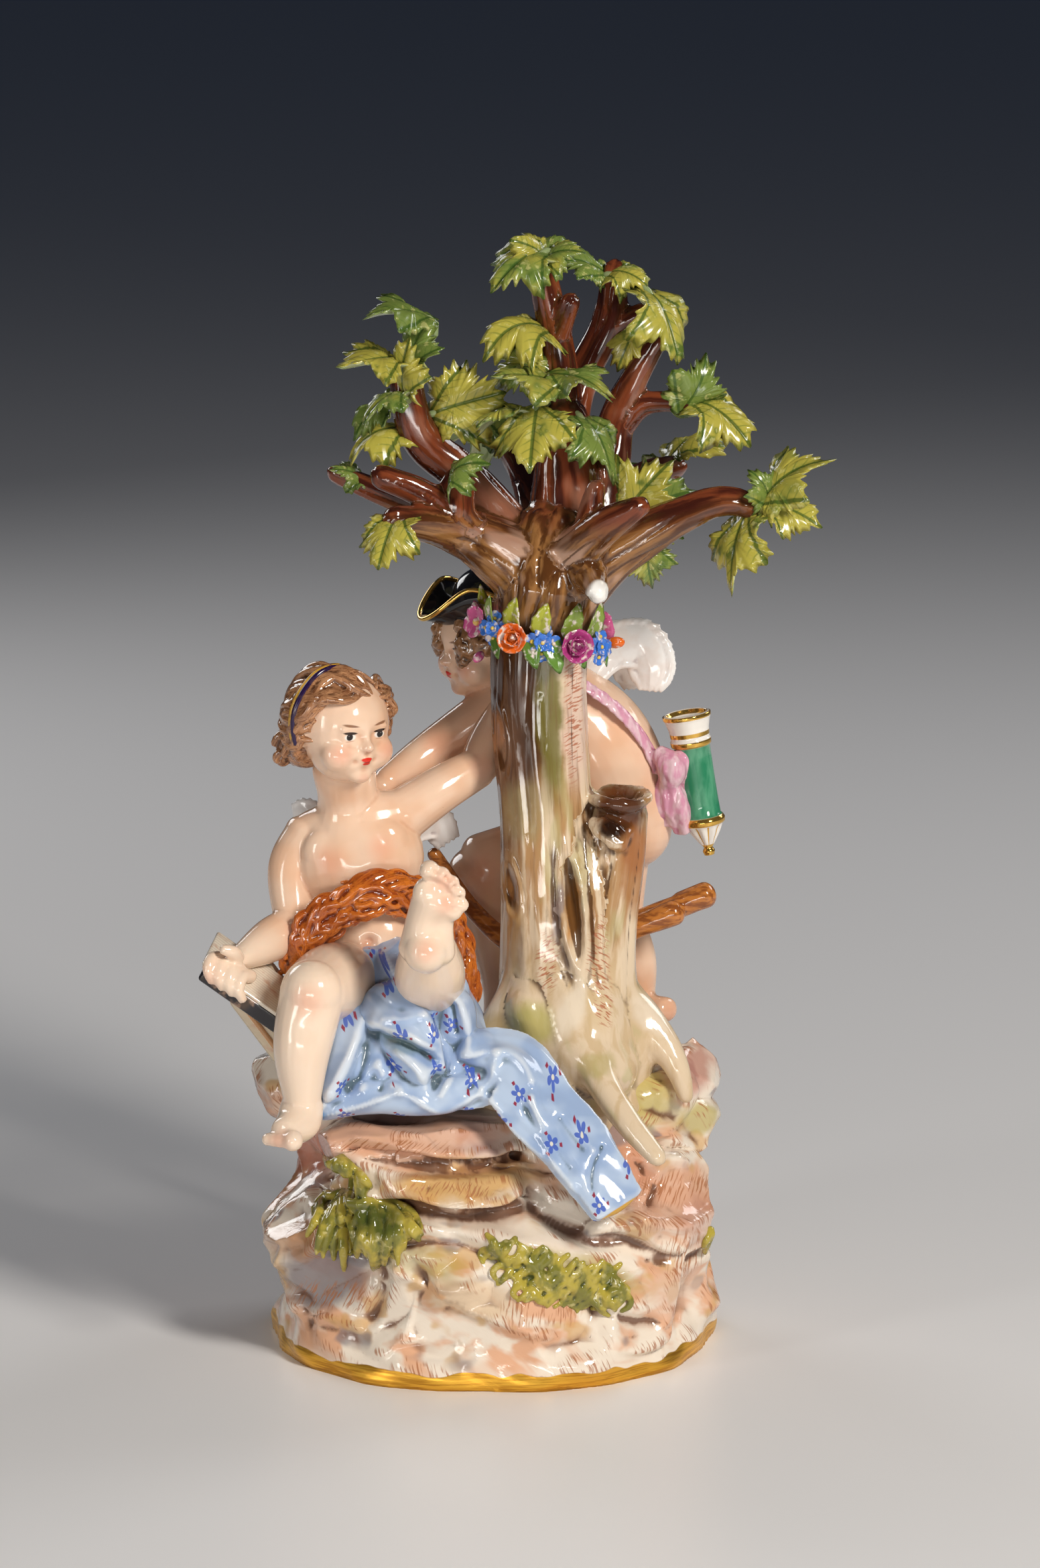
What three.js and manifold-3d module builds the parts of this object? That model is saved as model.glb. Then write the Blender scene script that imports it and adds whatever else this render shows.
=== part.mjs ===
// A glazed porcelain figure group: a rock base, a tree with a flower garland and applied leaves,
// a seated winged child with an open book, and a winged boy in a cocked hat who leans round the
// trunk. The group is moulded in many pieces, stuck together with slip and fired as one body, so
// it is one solid. Millimetres, +Z up. The origin is the middle of the flat underside, -Y is the
// side of the seated child's knees, and +X is the child's left.
import * as THREE from "three";
import { SimplifyModifier } from "three/addons/modifiers/SimplifyModifier.js";
import { mergeVertices } from "three/addons/utils/BufferGeometryUtils.js";
import Module from "manifold-3d";

const wasm = await Module();
wasm.setup();

const at = (x, y, z) => new THREE.Vector3(x, y, z);
const TURN = 2 * Math.PI;
const rad = THREE.MathUtils.degToRad;
const FRONT = at(0, -1, 0);
const UP = at(0, 0, 1);

// Driving dimensions
const FOOT_HALF_WIDTH = 57;
const FOOT_HALF_DEPTH = 54.5;
const MOUND_HEIGHT = 52;
const TRUNK_RADIUS = 12.2;
const LEAF_THICKNESS = 2;
const FLOWER_RADIUS = 4.4;
const CHILD_HEAD_RADIUS = 12.6;
const BOY_HEAD_RADIUS = 12.2;
const FACE_COUNT = 9900;

// Joints of the seated child. Its right side is at -X.
const CHILD = {
  head: at(-37.5, -12, 160),
  skullTurn: 34,
  neck: at(-36, -6, 138),
  chest: at(-33.5, -5.5, 125),
  waist: at(-31, -6, 108),
  hips: at(-28, -5, 93),
  rightShoulder: at(-45.5, -3, 130.5),
  rightElbow: at(-49.6, -10, 109),
  rightWrist: at(-62.5, -26, 104),
  rightHand: at(-67, -29.5, 102.6),
  leftShoulder: at(-22, -3, 136),
  leftElbow: at(-3.5, 4, 146.5),
  leftWrist: at(2, 11, 160),
  rightKnee: at(-44, -40, 98.5),
  rightCalf: at(-46.6, -44, 84),
  rightAnkle: at(-46.6, -43.5, 71),
  rightToes: at(-51.4, -53, 65.6),
  leftKnee: at(-15.5, -27, 98),
  leftAnkle: at(-15, -49, 111.5),
  leftHeel: at(-15.2, -51, 113.5),
  leftBall: at(-12.6, -51.5, 126),
};

// Joints of the boy behind the tree, who stands on the stones and leans to -X.
const BOY = {
  head: at(-1.5, 22, 175.6),
  neck: at(3, 23, 166),
  shoulders: at(11, 27, 161),
  back: at(25, 27.5, 148),
  hips: at(34, 27, 129),
  rightElbow: at(-12, 14, 151.5),
  rightHand: at(-27, 6, 142.5),
  leftElbow: at(11, 44, 151),
  leftHand: at(-4, 37, 147),
  leftKnee: at(32.5, 25, 103),
  leftAnkle: at(37.5, 26, 80),
  rightKnee: at(-3, 25, 116.5),
  rightAnkle: at(2, 31, 84),
};

// A closed solid from a geometry whose triangles meet at equal points.
function solid(geometry) {
  const bare = new THREE.BufferGeometry();
  bare.setAttribute("position", geometry.getAttribute("position"));
  bare.setIndex(geometry.index);
  const merged = mergeVertices(bare, 1e-4);
  const corners = merged.index.array;
  const kept = [];
  for (let i = 0; i < corners.length; i += 3) {
    const [a, b, c] = corners.slice(i, i + 3);
    if (a !== b && b !== c && c !== a) kept.push(a, b, c);
  }
  const vertProperties = merged.attributes.position.array;
  const made = new wasm.Manifold(
    new wasm.Mesh({ numProp: 3, vertProperties, triVerts: new Uint32Array(kept) }),
  );
  if (made.volume() > 0) return made;
  return new wasm.Manifold(
    new wasm.Mesh({ numProp: 3, vertProperties, triVerts: new Uint32Array(kept.reverse()) }),
  );
}

// A ball reshaped ring by ring: place(ring, spoke) gives each point, and the first and the last
// ring shrink to one point each.
function ringed(sides, rings, place) {
  const geometry = new THREE.SphereGeometry(1, sides, rings);
  const position = geometry.getAttribute("position");
  for (let ring = 0; ring <= rings; ring++) {
    for (let side = 0; side <= sides; side++) {
      const p = place(ring, side % sides);
      position.setXYZ(ring * (sides + 1) + side, p.x, p.y, p.z);
    }
  }
  return solid(geometry);
}

// A bar with peaked ends along a smooth path: a limb, bough, root or fold of cloth. The radii are
// spread evenly along the path, flat widens its section square to up, peak is how far its ends
// stand out in radii, and relief(angle, along) carves it.
function bar(points, radii, options = {}) {
  const { sides = 7, steps = 2 * (points.length - 1), flat = 1, up = FRONT, peak = 0.5, relief } = options;
  const path = new THREE.CatmullRomCurve3(points, false, "centripetal");
  const radiusAt = (along) => {
    const place = along * (radii.length - 1);
    const low = Math.min(Math.floor(place), radii.length - 2);
    return THREE.MathUtils.lerp(radii[low], radii[low + 1], place - low);
  };
  return ringed(sides, steps + 2, (ring, spoke) => {
    const along = THREE.MathUtils.clamp((ring - 1) / steps, 0, 1);
    const tangent = path.getTangentAt(along);
    const centre = path.getPointAt(along);
    const radius = radiusAt(along);
    if (ring === 0) return centre.addScaledVector(tangent, -peak * radius);
    if (ring === steps + 2) return centre.addScaledVector(tangent, peak * radius);
    const normal = up.clone().addScaledVector(tangent, -up.dot(tangent)).normalize();
    const side = tangent.clone().cross(normal);
    const angle = (spoke / sides) * TURN;
    const size = radius * (relief ? relief(angle, along) : 1);
    return centre
      .addScaledVector(normal, size * Math.cos(angle))
      .addScaledVector(side, size * flat * Math.sin(angle));
  });
}

// An ellipsoid, turned by tilt in degrees about X, Y and Z. relief(direction) carves it.
function blob(centre, radii, options = {}) {
  const { sides = 8, rings = 6, tilt = [0, 0, 0], relief } = options;
  const turn = new THREE.Euler(...tilt.map(rad), "ZYX");
  return ringed(sides, rings, (ring, spoke) => {
    const polar = (ring / rings) * Math.PI;
    const angle = (spoke / sides) * TURN;
    const across = ring === 0 || ring === rings ? 0 : Math.sin(polar);
    const direction = at(across * Math.cos(angle), across * Math.sin(angle), Math.cos(polar));
    const size = relief ? relief(direction) : 1;
    return direction
      .multiply(at(...radii))
      .multiplyScalar(size)
      .applyEuler(turn)
      .add(centre);
  });
}

// A rough value from -1 to 1 that depends only on the direction and the seed.
function roughness(direction, seed) {
  const value = Math.sin(direction.x * 5.1 + direction.y * 7.3 + direction.z * 6.7 + seed * 2.9);
  return value * Math.cos(direction.x * 3.7 - direction.y * 4.3 + direction.z * 5.9 + seed);
}

// A boulder: a ball squared off towards a block and knocked into facets.
function boulder(centre, radii, seed, options = {}) {
  const { squareness = 3.2, rough = 0.1, tilt = [0, 0, 0], detail = 2 } = options;
  const geometry = new THREE.IcosahedronGeometry(1, detail);
  const position = geometry.getAttribute("position");
  const turn = new THREE.Euler(...tilt.map(rad));
  const p = at(0, 0, 0);
  for (let i = 0; i < position.count; i++) {
    p.fromBufferAttribute(position, i);
    const power = ["x", "y", "z"].reduce((sum, axis) => sum + Math.abs(p[axis]) ** squareness, 0);
    const size = power ** (-1 / squareness) * (1 + rough * roughness(p, seed));
    p.multiplyScalar(size).multiply(at(...radii)).applyEuler(turn).add(centre);
    position.setXYZ(i, p.x, p.y, p.z);
  }
  return solid(geometry);
}

// The base: a round mound of modelled rock with a flat foot, ledges, a seat and loose stones.
function rockBase() {
  // Height and reach of each course, as shares of the mound's height and of the foot
  const courses = [
    [0, 1], [0.1, 1.0], [0.2, 0.985], [0.32, 0.97], [0.45, 1.0], [0.57, 1.03], [0.68, 0.99], [0.78, 0.9],
    [0.88, 0.86], [0.97, 0.84],
  ];
  const sides = 34;
  const wave = (angle, level) =>
    0.03 * Math.sin(5 * angle + 7 * level) + 0.022 * Math.sin(9 * angle - 16 * level + 1) +
    0.014 * Math.sin(17 * angle + 23 * level);
  const mound = ringed(sides, courses.length + 1, (ring, spoke) => {
    if (ring === 0) return at(0, 0, 0);
    if (ring === courses.length + 1) return at(0, 0, MOUND_HEIGHT);
    const [level, reach] = courses[ring - 1];
    const angle = (spoke / sides) * TURN;
    const grow = reach * (1 + wave(angle, level) * Math.min(1, 0.4 + level * 3));
    return at(
      FOOT_HALF_WIDTH * grow * Math.cos(angle),
      FOOT_HALF_DEPTH * grow * Math.sin(angle),
      level * MOUND_HEIGHT,
    );
  });
  return [
    mound,
    // The seat and the shelf behind the child's shin
    boulder(at(-26, 4, 60), [27, 25, 19], 1, { detail: 3 }),
    boulder(at(-44.5, -3, 66), [16, 19, 11.4], 2, { tilt: [0, 6, 0] }),
    // The hump that carries the tree
    boulder(at(15, -8, 58), [27, 25, 17], 3, { detail: 3 }),
    // Ledges below the drapery
    boulder(at(-21, -29, 60.5), [27, 18, 5.4], 4, { tilt: [2, 3, 0], squareness: 4, rough: 0.05 }),
    boulder(at(-11, -32, 50), [27, 20, 7], 5, { tilt: [0, 7, 0], squareness: 4, rough: 0.05 }),
    boulder(at(-14, -34, 37), [30, 20, 8], 13, { tilt: [10, 14, 0], squareness: 3.4 }),
    // The outcrops at the front
    boulder(at(32.5, -22, 38), [22, 25, 17.5], 6, { tilt: [0, -10, 14], squareness: 4.4 }),
    boulder(at(-36.6, -20, 28), [21, 23, 15], 7, { tilt: [0, 12, -14], squareness: 4.4 }),
    boulder(at(12, -36, 30), [26, 17, 11], 14, { tilt: [16, 24, 0], squareness: 4 }),
    // Loose stones at the right
    boulder(at(39, -12, 66), [11.4, 11, 10.6], 8, { rough: 0.05, squareness: 2.4, detail: 3 }),
    boulder(at(46.4, 5, 69), [10.4, 14, 12], 9, { rough: 0.07, squareness: 2.6, detail: 3 }),
    boulder(at(45, 0, 56), [12, 15, 8], 10, { rough: 0.06 }),
    // The rise at the back, on which the boy stands
    boulder(at(24, 31, 60), [25, 19, 19], 11),
    boulder(at(-14, 34, 52), [29, 18, 17], 12),
    // The solid middle under all of them
    boulder(at(0, 5, 46), [30, 28, 26], 15),
    boulder(at(34, 12, 48), [15, 12, 13], 16),
  ];
}

// Tufts of moss: rows of fronds that spring from the rock and hang down.
function moss() {
  const tuft = (from, to, count, reach) =>
    Array.from({ length: count }, (unused, i) => {
      const share = i / (count - 1);
      const root = from.clone().lerp(to, share);
      const spread = (share - 0.5) * reach * 0.7;
      const route = [
        root,
        root.clone().add(at(spread * 0.5, -3.4, reach * 0.06)),
        root.clone().add(at(spread, -3.6 - (i % 3), -reach * (0.62 + 0.16 * (i % 2)))),
      ];
      return bar(route, [2, 3, 1.4], { sides: 6, steps: 4, flat: 1.2 });
    });
  return [
    ...tuft(at(-39, -36, 45), at(-16, -45, 46), 7, 18),
    ...tuft(at(-1, -48, 36), at(29, -43, 25), 9, 13),
    ...tuft(at(54, 4, 38), at(52, 16, 36), 4, 12),
  ];
}

// Bark: shallow flutes that wind a little as they climb.
const bark = (flutes, depth) => (angle, along) =>
  1 + depth * Math.sin(flutes * angle + 3 * along) + 0.5 * depth * Math.sin(3 * angle - 5 * along);

function trunk() {
  const column = bar(
    [
      at(17, -8, 64), at(17, -8, 80), at(15.4, -7, 98), at(14.2, -6, 116), at(13.4, -5, 136),
      at(12, -4, 160), at(12.2, -4, 180), at(14.6, -4, 194), at(15.8, -3, 203),
    ],
    [23, 17, 13.6, 12.2, 11.8, TRUNK_RADIUS, TRUNK_RADIUS, 14, 11],
    { sides: 20, steps: 18, peak: 0.2, relief: bark(6, 0.05) },
  );
  const web = bar([at(23, -9, 76), at(22, -9, 96), at(22, -8, 118), at(22, -6, 134)], [13, 10.6, 9, 5], {
    sides: 12, steps: 8, relief: bark(5, 0.05),
  });
  const stump = bar(
    [at(26, -10, 74), at(26.5, -10, 92), at(29, -9, 114), at(31.4, -8, 130), at(32.2, -8, 140)],
    [13, 9.6, 7.6, 7.4, 6.6],
    { sides: 12, steps: 8, peak: -0.35, relief: bark(4, 0.06) },
  );
  const roots = [
    [at(6, -12, 96), at(1, -14, 84), at(-5, -16, 77)],
    [at(17, -16, 88), at(21, -24, 81), at(31, -36, 70), at(42, -46, 58)],
    [at(33, -9, 90), at(42, -13, 81), at(47.4, -17, 72), at(49, -19, 66)],
    [at(10, -18, 84), at(7, -28, 76), at(2, -34, 71)],
    [at(16, 6, 88), at(14, 18, 78), at(4, 26, 70)],
  ].map((route) => bar(route, [7, 5.2, 3.4, 2], { sides: 8, steps: 7, relief: bark(3, 0.06) }));
  // Knots: raised lips with a hollow, and the hollow top of the stump
  const knots = [
    { centre: at(3.4, -14.4, 118), size: [3, 3, 9], lean: 2 },
    { centre: at(18.2, -18, 117), size: [3.6, 2.6, 16], lean: -4 },
    { centre: at(0.6, -9.4, 160), size: [2.4, 3, 7], lean: 0 },
  ];
  const lips = knots.map(({ centre, size, lean }) =>
    blob(centre, size, { sides: 8, rings: 8, tilt: [0, lean, 0] }),
  );
  const hollows = knots.map(({ centre, size, lean }) => {
    const front = centre.clone().add(at(0.4, -size[1] * 0.8, 0));
    const inner = [size[0] * 0.5, size[1] * 0.6, size[2] * 0.75];
    return blob(front, inner, { sides: 6, rings: 6, tilt: [0, lean, 0] });
  });
  hollows.push(blob(at(32, -10.4, 141.6), [4.6, 4.4, 5.6], { sides: 9, rings: 6 }));
  const wood = [column, web, stump, ...roots, ...lips].reduce((whole, next) => whole.add(next));
  return [hollows.reduce((whole, next) => whole.subtract(next), wood)];
}

// The boughs: each is a route from root to tip and its radii.
function boughs() {
  const routes = [
    // the left bough with its snags
    [[at(12, -4, 198), at(-7, -7, 208), at(-15, -14, 211), at(-24, -20, 213)], [9, 6, 4, 3.2]],
    [[at(-4, -6, 207), at(-8.4, -10, 213), at(-8.4, -10.5, 220)], [5.4, 4.4, 3.8]],
    [[at(-5, -8, 209), at(-16, -12, 220), at(-27, -14, 223)], [5, 3.8, 3.2]],
    [[at(-5, -4, 208), at(-22, -1, 215), at(-39, 3, 221.6)], [4.8, 3.5, 2.4]],
    // the bough to the upper left
    [[at(10, 0, 199), at(-7, 3, 220.5), at(-18, 1, 231), at(-21.5, 0, 245)], [8, 5, 4.6, 3.8]],
    // the thick middle snag, the two boughs that climb from it and their forks
    [[at(17, 1, 196), at(18.4, 0, 214), at(18, 0, 234)], [12, 8.4, 6]],
    [[at(18, 1, 226), at(17, 2, 250), at(12.4, 0, 272)], [5, 3.8, 3.6]],
    [[at(16, 2, 255), at(19.6, -4, 264)], [2.8, 2.6]],
    [[at(18, 4, 226), at(22, 12, 243), at(29.6, 12, 260), at(30.3, 12, 270)], [5, 4.3, 4, 3]],
    [[at(28.6, 13, 255), at(38, 10, 260)], [3.2, 2.4]],
    // the bough to the upper right and its side shoot
    [
      [at(21, 2, 203), at(28.4, 5, 218), at(31, 8, 234), at(36, 8, 245), at(42, 6, 254)],
      [8, 4.8, 4.2, 3.2, 2],
    ],
    [[at(31, 8, 233), at(38, 8, 238), at(51, 8, 237.6)], [3.6, 2.8, 2.4]],
    // the right bough
    [
      [at(18, -3, 196), at(31, -6, 203.5), at(48, -9, 214), at(58, -9, 216.6), at(67, -8, 214)],
      [10, 6.4, 4.2, 3.6, 3],
    ],
    // short snags towards the front
    [[at(19, -9, 203), at(29, -22, 213), at(36, -28, 217.5)], [6, 4.2, 2.8]],
    [[at(23, -13, 207), at(25.6, -19, 221)], [4, 2.2]],
    [[at(21, -8, 200), at(26, -23, 196)], [5.4, 3.2]],
    // two boughs at the back
    [[at(16, 4, 200), at(10, 24, 215), at(4, 36, 224)], [9, 4.8, 3]],
    [[at(19, 4, 202), at(38, 25, 217), at(47, 33, 219)], [8, 4.2, 3]],
  ];
  const sight = at(0.3, -1, 0.25);
  return routes.map(([route, radii]) =>
    bar(route, radii, { sides: 8, steps: 2 * route.length, up: sight, relief: bark(3, 0.04) }),
  );
}

// The outline of a toothed leaf of five lobes, one unit long.
function leafOutline() {
  const lobes = [[-122, 0.42], [-60, 0.54], [0, 0.66], [60, 0.54], [122, 0.42]];
  const outline = [[-0.05, 0]];
  const reachTo = (turn, reach) => [0.34 + reach * Math.cos(rad(turn)), reach * Math.sin(rad(turn))];
  lobes.forEach(([angle, length], i) => {
    if (i) outline.push(reachTo(angle - 31, 0.36));
    outline.push(reachTo(angle - 18, length * 0.8), reachTo(angle, length));
    outline.push(reachTo(angle + 17, length * 0.84));
  });
  return outline;
}

// A leaf, ridged in the middle, on a short stem. It is set by the foot of its blade, its tip, the
// way it faces and its droop.
function leaf(stalk, tip, facing, droop = 0.2) {
  const outline = leafOutline();
  const along = tip.clone().sub(stalk);
  const size = along.length();
  along.normalize();
  const face = facing.clone().addScaledVector(along, -facing.dot(along)).normalize();
  const across = face.clone().cross(along);
  const bend = (u, v, lift) =>
    stalk
      .clone()
      .addScaledVector(along, size * u)
      .addScaledVector(across, size * v)
      .addScaledVector(face, lift + size * (droop * (u - u * u) - 0.6 * droop * v * v));
  const rings = [
    () => bend(0.34, 0, LEAF_THICKNESS / 2),
    (spoke) => bend(...outline[spoke], 0),
    () => bend(0.34, 0, -LEAF_THICKNESS / 2),
  ];
  const blade = ringed(outline.length, 2, (ring, spoke) => rings[ring](spoke));
  const stem = bar([bend(-0.3, 0, 0), bend(0, 0, 0), bend(0.4, 0, 0)], [1.5, 1.4, 0.6], {
    sides: 5, steps: 3,
  });
  return [blade, stem];
}

function leaves() {
  const front = at(-0.15, -1, 0.35);
  const above = at(-0.1, -0.55, 1);
  const left = at(-0.8, -0.6, 0.4);
  const right = at(0.8, -0.6, 0.4);
  const placed = [
    // round the top
    [at(15, 0, 277), at(1, -8, 266), at(-0.6, -0.8, 0.6), 0.5],
    [at(12, 0, 273), at(24, -6, 276), above, 0.5],
    [at(14, 1, 275), at(2, -5, 281), at(0, -0.8, 1), 0.4],
    [at(10, 1, 272), at(20, 9, 279), at(0, -0.8, 1), 0.5],
    [at(29, 12, 269), at(16, 10, 274), above, 0.3],
    [at(28, 11, 270), at(39, 7, 266), above, 0.4],
    [at(37, 10, 268), at(43.5, 3, 246), right, 0.4],
    [at(37, 10, 259), at(31, 8, 246), front, 0.2],
    [at(16, 2, 256), at(-2, -6, 249), left, 0.7],
    [at(16, 4, 252), at(0, 2, 242), front, 0.4],
    // on the upper left bough
    [at(-14, 1, 259), at(-33, -5, 261), at(0, -0.35, 1), 0.3],
    [at(-20, -1, 246), at(-14, 2, 260), left, 0.3],
    [at(-21, -1, 250), at(-38, -12, 248), at(-0.5, -0.7, 0.8), 0.2],
    [at(-20.5, -3, 240), at(-18.5, -9, 257), left, 0.2],
    [at(-20, -2, 242), at(-31, -12, 234), left, 0.3],
    [at(-20, 3, 240), at(-34, 0, 230), at(-0.5, -0.5, 0.9), 0.5],
    [at(-18, 4, 231), at(-36, 2, 222), at(-0.2, -0.4, 1), 0.7],
    [at(-16, 2, 236), at(5, -1, 242), front, 0.2],
    // at the tips of the left snags
    [at(-31, 3, 218), at(-41, -1, 222), above, 0.4],
    [at(-22, -19, 215), at(-27, -27, 200), at(-0.5, -1, 0.2), 0.3],
    [at(-11, -11, 219), at(1, -17, 225), above, 0.5],
    // in the middle, towards the front
    [at(18, -4, 243), at(-1, -14, 246), above, 0.25],
    [at(14, -4, 246), at(30, -13, 242), above, 0.25],
    [at(11.6, -4, 240), at(9.6, -19, 223), front, 0.25],
    [at(20, -3, 238), at(28, -10, 218), right, 0.3],
    [at(8, -2, 236), at(-4, -13, 233), left, 0.4],
    // on the upper right bough
    [at(46, 8, 236), at(54, 6, 251), at(0.5, -0.8, 0.1), 0.3],
    [at(49, 8, 239), at(63.5, 2, 226), at(0.8, -0.6, 0.5), 0.4],
    // in the crook of the right bough
    [at(31, 0, 209), at(45, 2, 225), front, 0.2],
    [at(31, 1, 208), at(51, 5, 217), at(0.2, -1, 0.7), 0.3],
    [at(38, -3, 207), at(40, -2, 193), front, 0.2],
    // at the end of the right bough
    [at(66, -8, 213), at(86, -11, 228), at(-0.3, -0.6, 1), 0.35],
    [at(68, -8, 214), at(63, -11, 225), above, 0.3],
    [at(66, -9, 215), at(81, -13, 209), right, 0.3],
    [at(64, -8, 214), at(60.5, -12, 192), at(-1, -0.9, 0), 0.2],
    // at the back
    [at(5, 34, 222), at(4, 55, 230), at(0, 0.4, 1), 0.4],
    [at(5, 34, 223), at(-14, 40, 222), at(-0.3, 0.5, 1), 0.4],
    [at(44, 31, 217), at(60, 46, 225), at(0, 0.3, 1), 0.4],
    [at(45, 32, 218), at(38, 48, 208), at(0.2, 1, 0.5), 0.3],
  ];
  return placed.flatMap((entry) => leaf(...entry));
}

// The garland: applied flowers and leaflets on a ring that sags to the right.
function garland() {
  const middle = at(12.6, -4, 182);
  const ring = TRUNK_RADIUS + 2;
  const place = (turn, out, drop) =>
    at(Math.cos(turn), Math.sin(turn), 0)
      .multiplyScalar(ring + out)
      .add(at(0, 0, drop - 1.8 * Math.cos(turn)))
      .add(middle);
  const flowers = 11;
  const cup = [[0, -0.6], [0.7, -0.5], [1, 0.15], [0.75, 0.5], [0.4, 0.15], [0, 0.5]];
  const made = [];
  for (let i = 0; i < flowers; i++) {
    const turn = rad(-100) + (i / flowers) * TURN;
    const size = FLOWER_RADIUS * (i % 2 ? 0.86 : 1.08);
    const outward = at(Math.cos(turn), Math.sin(turn), 0.15).normalize();
    const facing = new THREE.Quaternion().setFromUnitVectors(UP, outward);
    const flower = new THREE.LatheGeometry(cup.map(([r, h]) => new THREE.Vector2(r * size, h * size)), 6)
      .rotateX(Math.PI / 2)
      .applyQuaternion(facing);
    const spot = place(turn, 0.6, i % 2 ? 1 : -0.6);
    made.push(solid(flower.translate(spot.x, spot.y, spot.z)));
  }
  const leaflets = 8;
  for (let i = 0; i < leaflets; i++) {
    const turn = rad(-75) + (i / leaflets) * TURN;
    const rise = i % 2 ? 8.5 : -8.5;
    const outward = at(Math.cos(turn), Math.sin(turn), 0);
    const route = [place(turn, -2, rise * 0.2), place(turn, 0.5, rise * 0.65), place(turn + 0.1, 1, rise)];
    made.push(bar(route, [2, 2.4, 0.8], { sides: 4, steps: 2, up: outward, flat: 1.4 }));
  }
  return made;
}

// A child's head, its face to the front before it is turned: skull, cheeks, chin and nose.
function head(centre, radius, turned, nod) {
  const turn = new THREE.Euler(rad(nod), 0, rad(turned), "ZXY");
  const feature = (side, out, rise, size, options) => {
    const place = at(side, -out, rise).multiplyScalar(radius).applyEuler(turn).add(centre);
    const radii = size.map((share) => share * radius);
    return blob(place, radii, { tilt: [nod, 0, turned], sides: 6, rings: 4, ...options });
  };
  return [
    feature(0, 0, 0.1, [0.94, 1.0, 1.0], { sides: 16, rings: 12 }),
    feature(0, 0.3, -0.46, [0.78, 0.68, 0.62], { sides: 12, rings: 8 }),
    feature(0, 0.76, -0.86, [0.24, 0.2, 0.2]),
    feature(0, 0.98, -0.24, [0.13, 0.2, 0.17]),
  ];
}

// Wavy hair: a ridged cap and locks round it, placed from the face like the features of a head.
function hair(centre, radius, turned, strands, locks) {
  const turn = new THREE.Euler(0, 0, rad(turned));
  const waves = (d) => 1 + 0.045 * Math.sin(strands * Math.atan2(d.x, d.z) + 3 * d.y) * Math.abs(d.y - 0.2);
  const place = (side, out, rise) =>
    at(side, -out, rise).multiplyScalar(radius).applyEuler(turn).add(centre);
  const lockRadii = (size) => [size * radius, size * radius, size * radius * 1.1];
  return [
    blob(place(0, -0.17, 0.25), [radius * 1.04, radius * 1.02, radius * 1.0], {
      sides: 20, rings: 12, relief: waves, tilt: [0, 0, turned],
    }),
    ...locks.map(([side, out, rise, size]) =>
      blob(place(side, out, rise), lockRadii(size), { sides: 6, rings: 4 }),
    ),
  ];
}

const skin = { sides: 12, steps: 8 };
const facingKnee = at(1, 0, 0);

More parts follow.
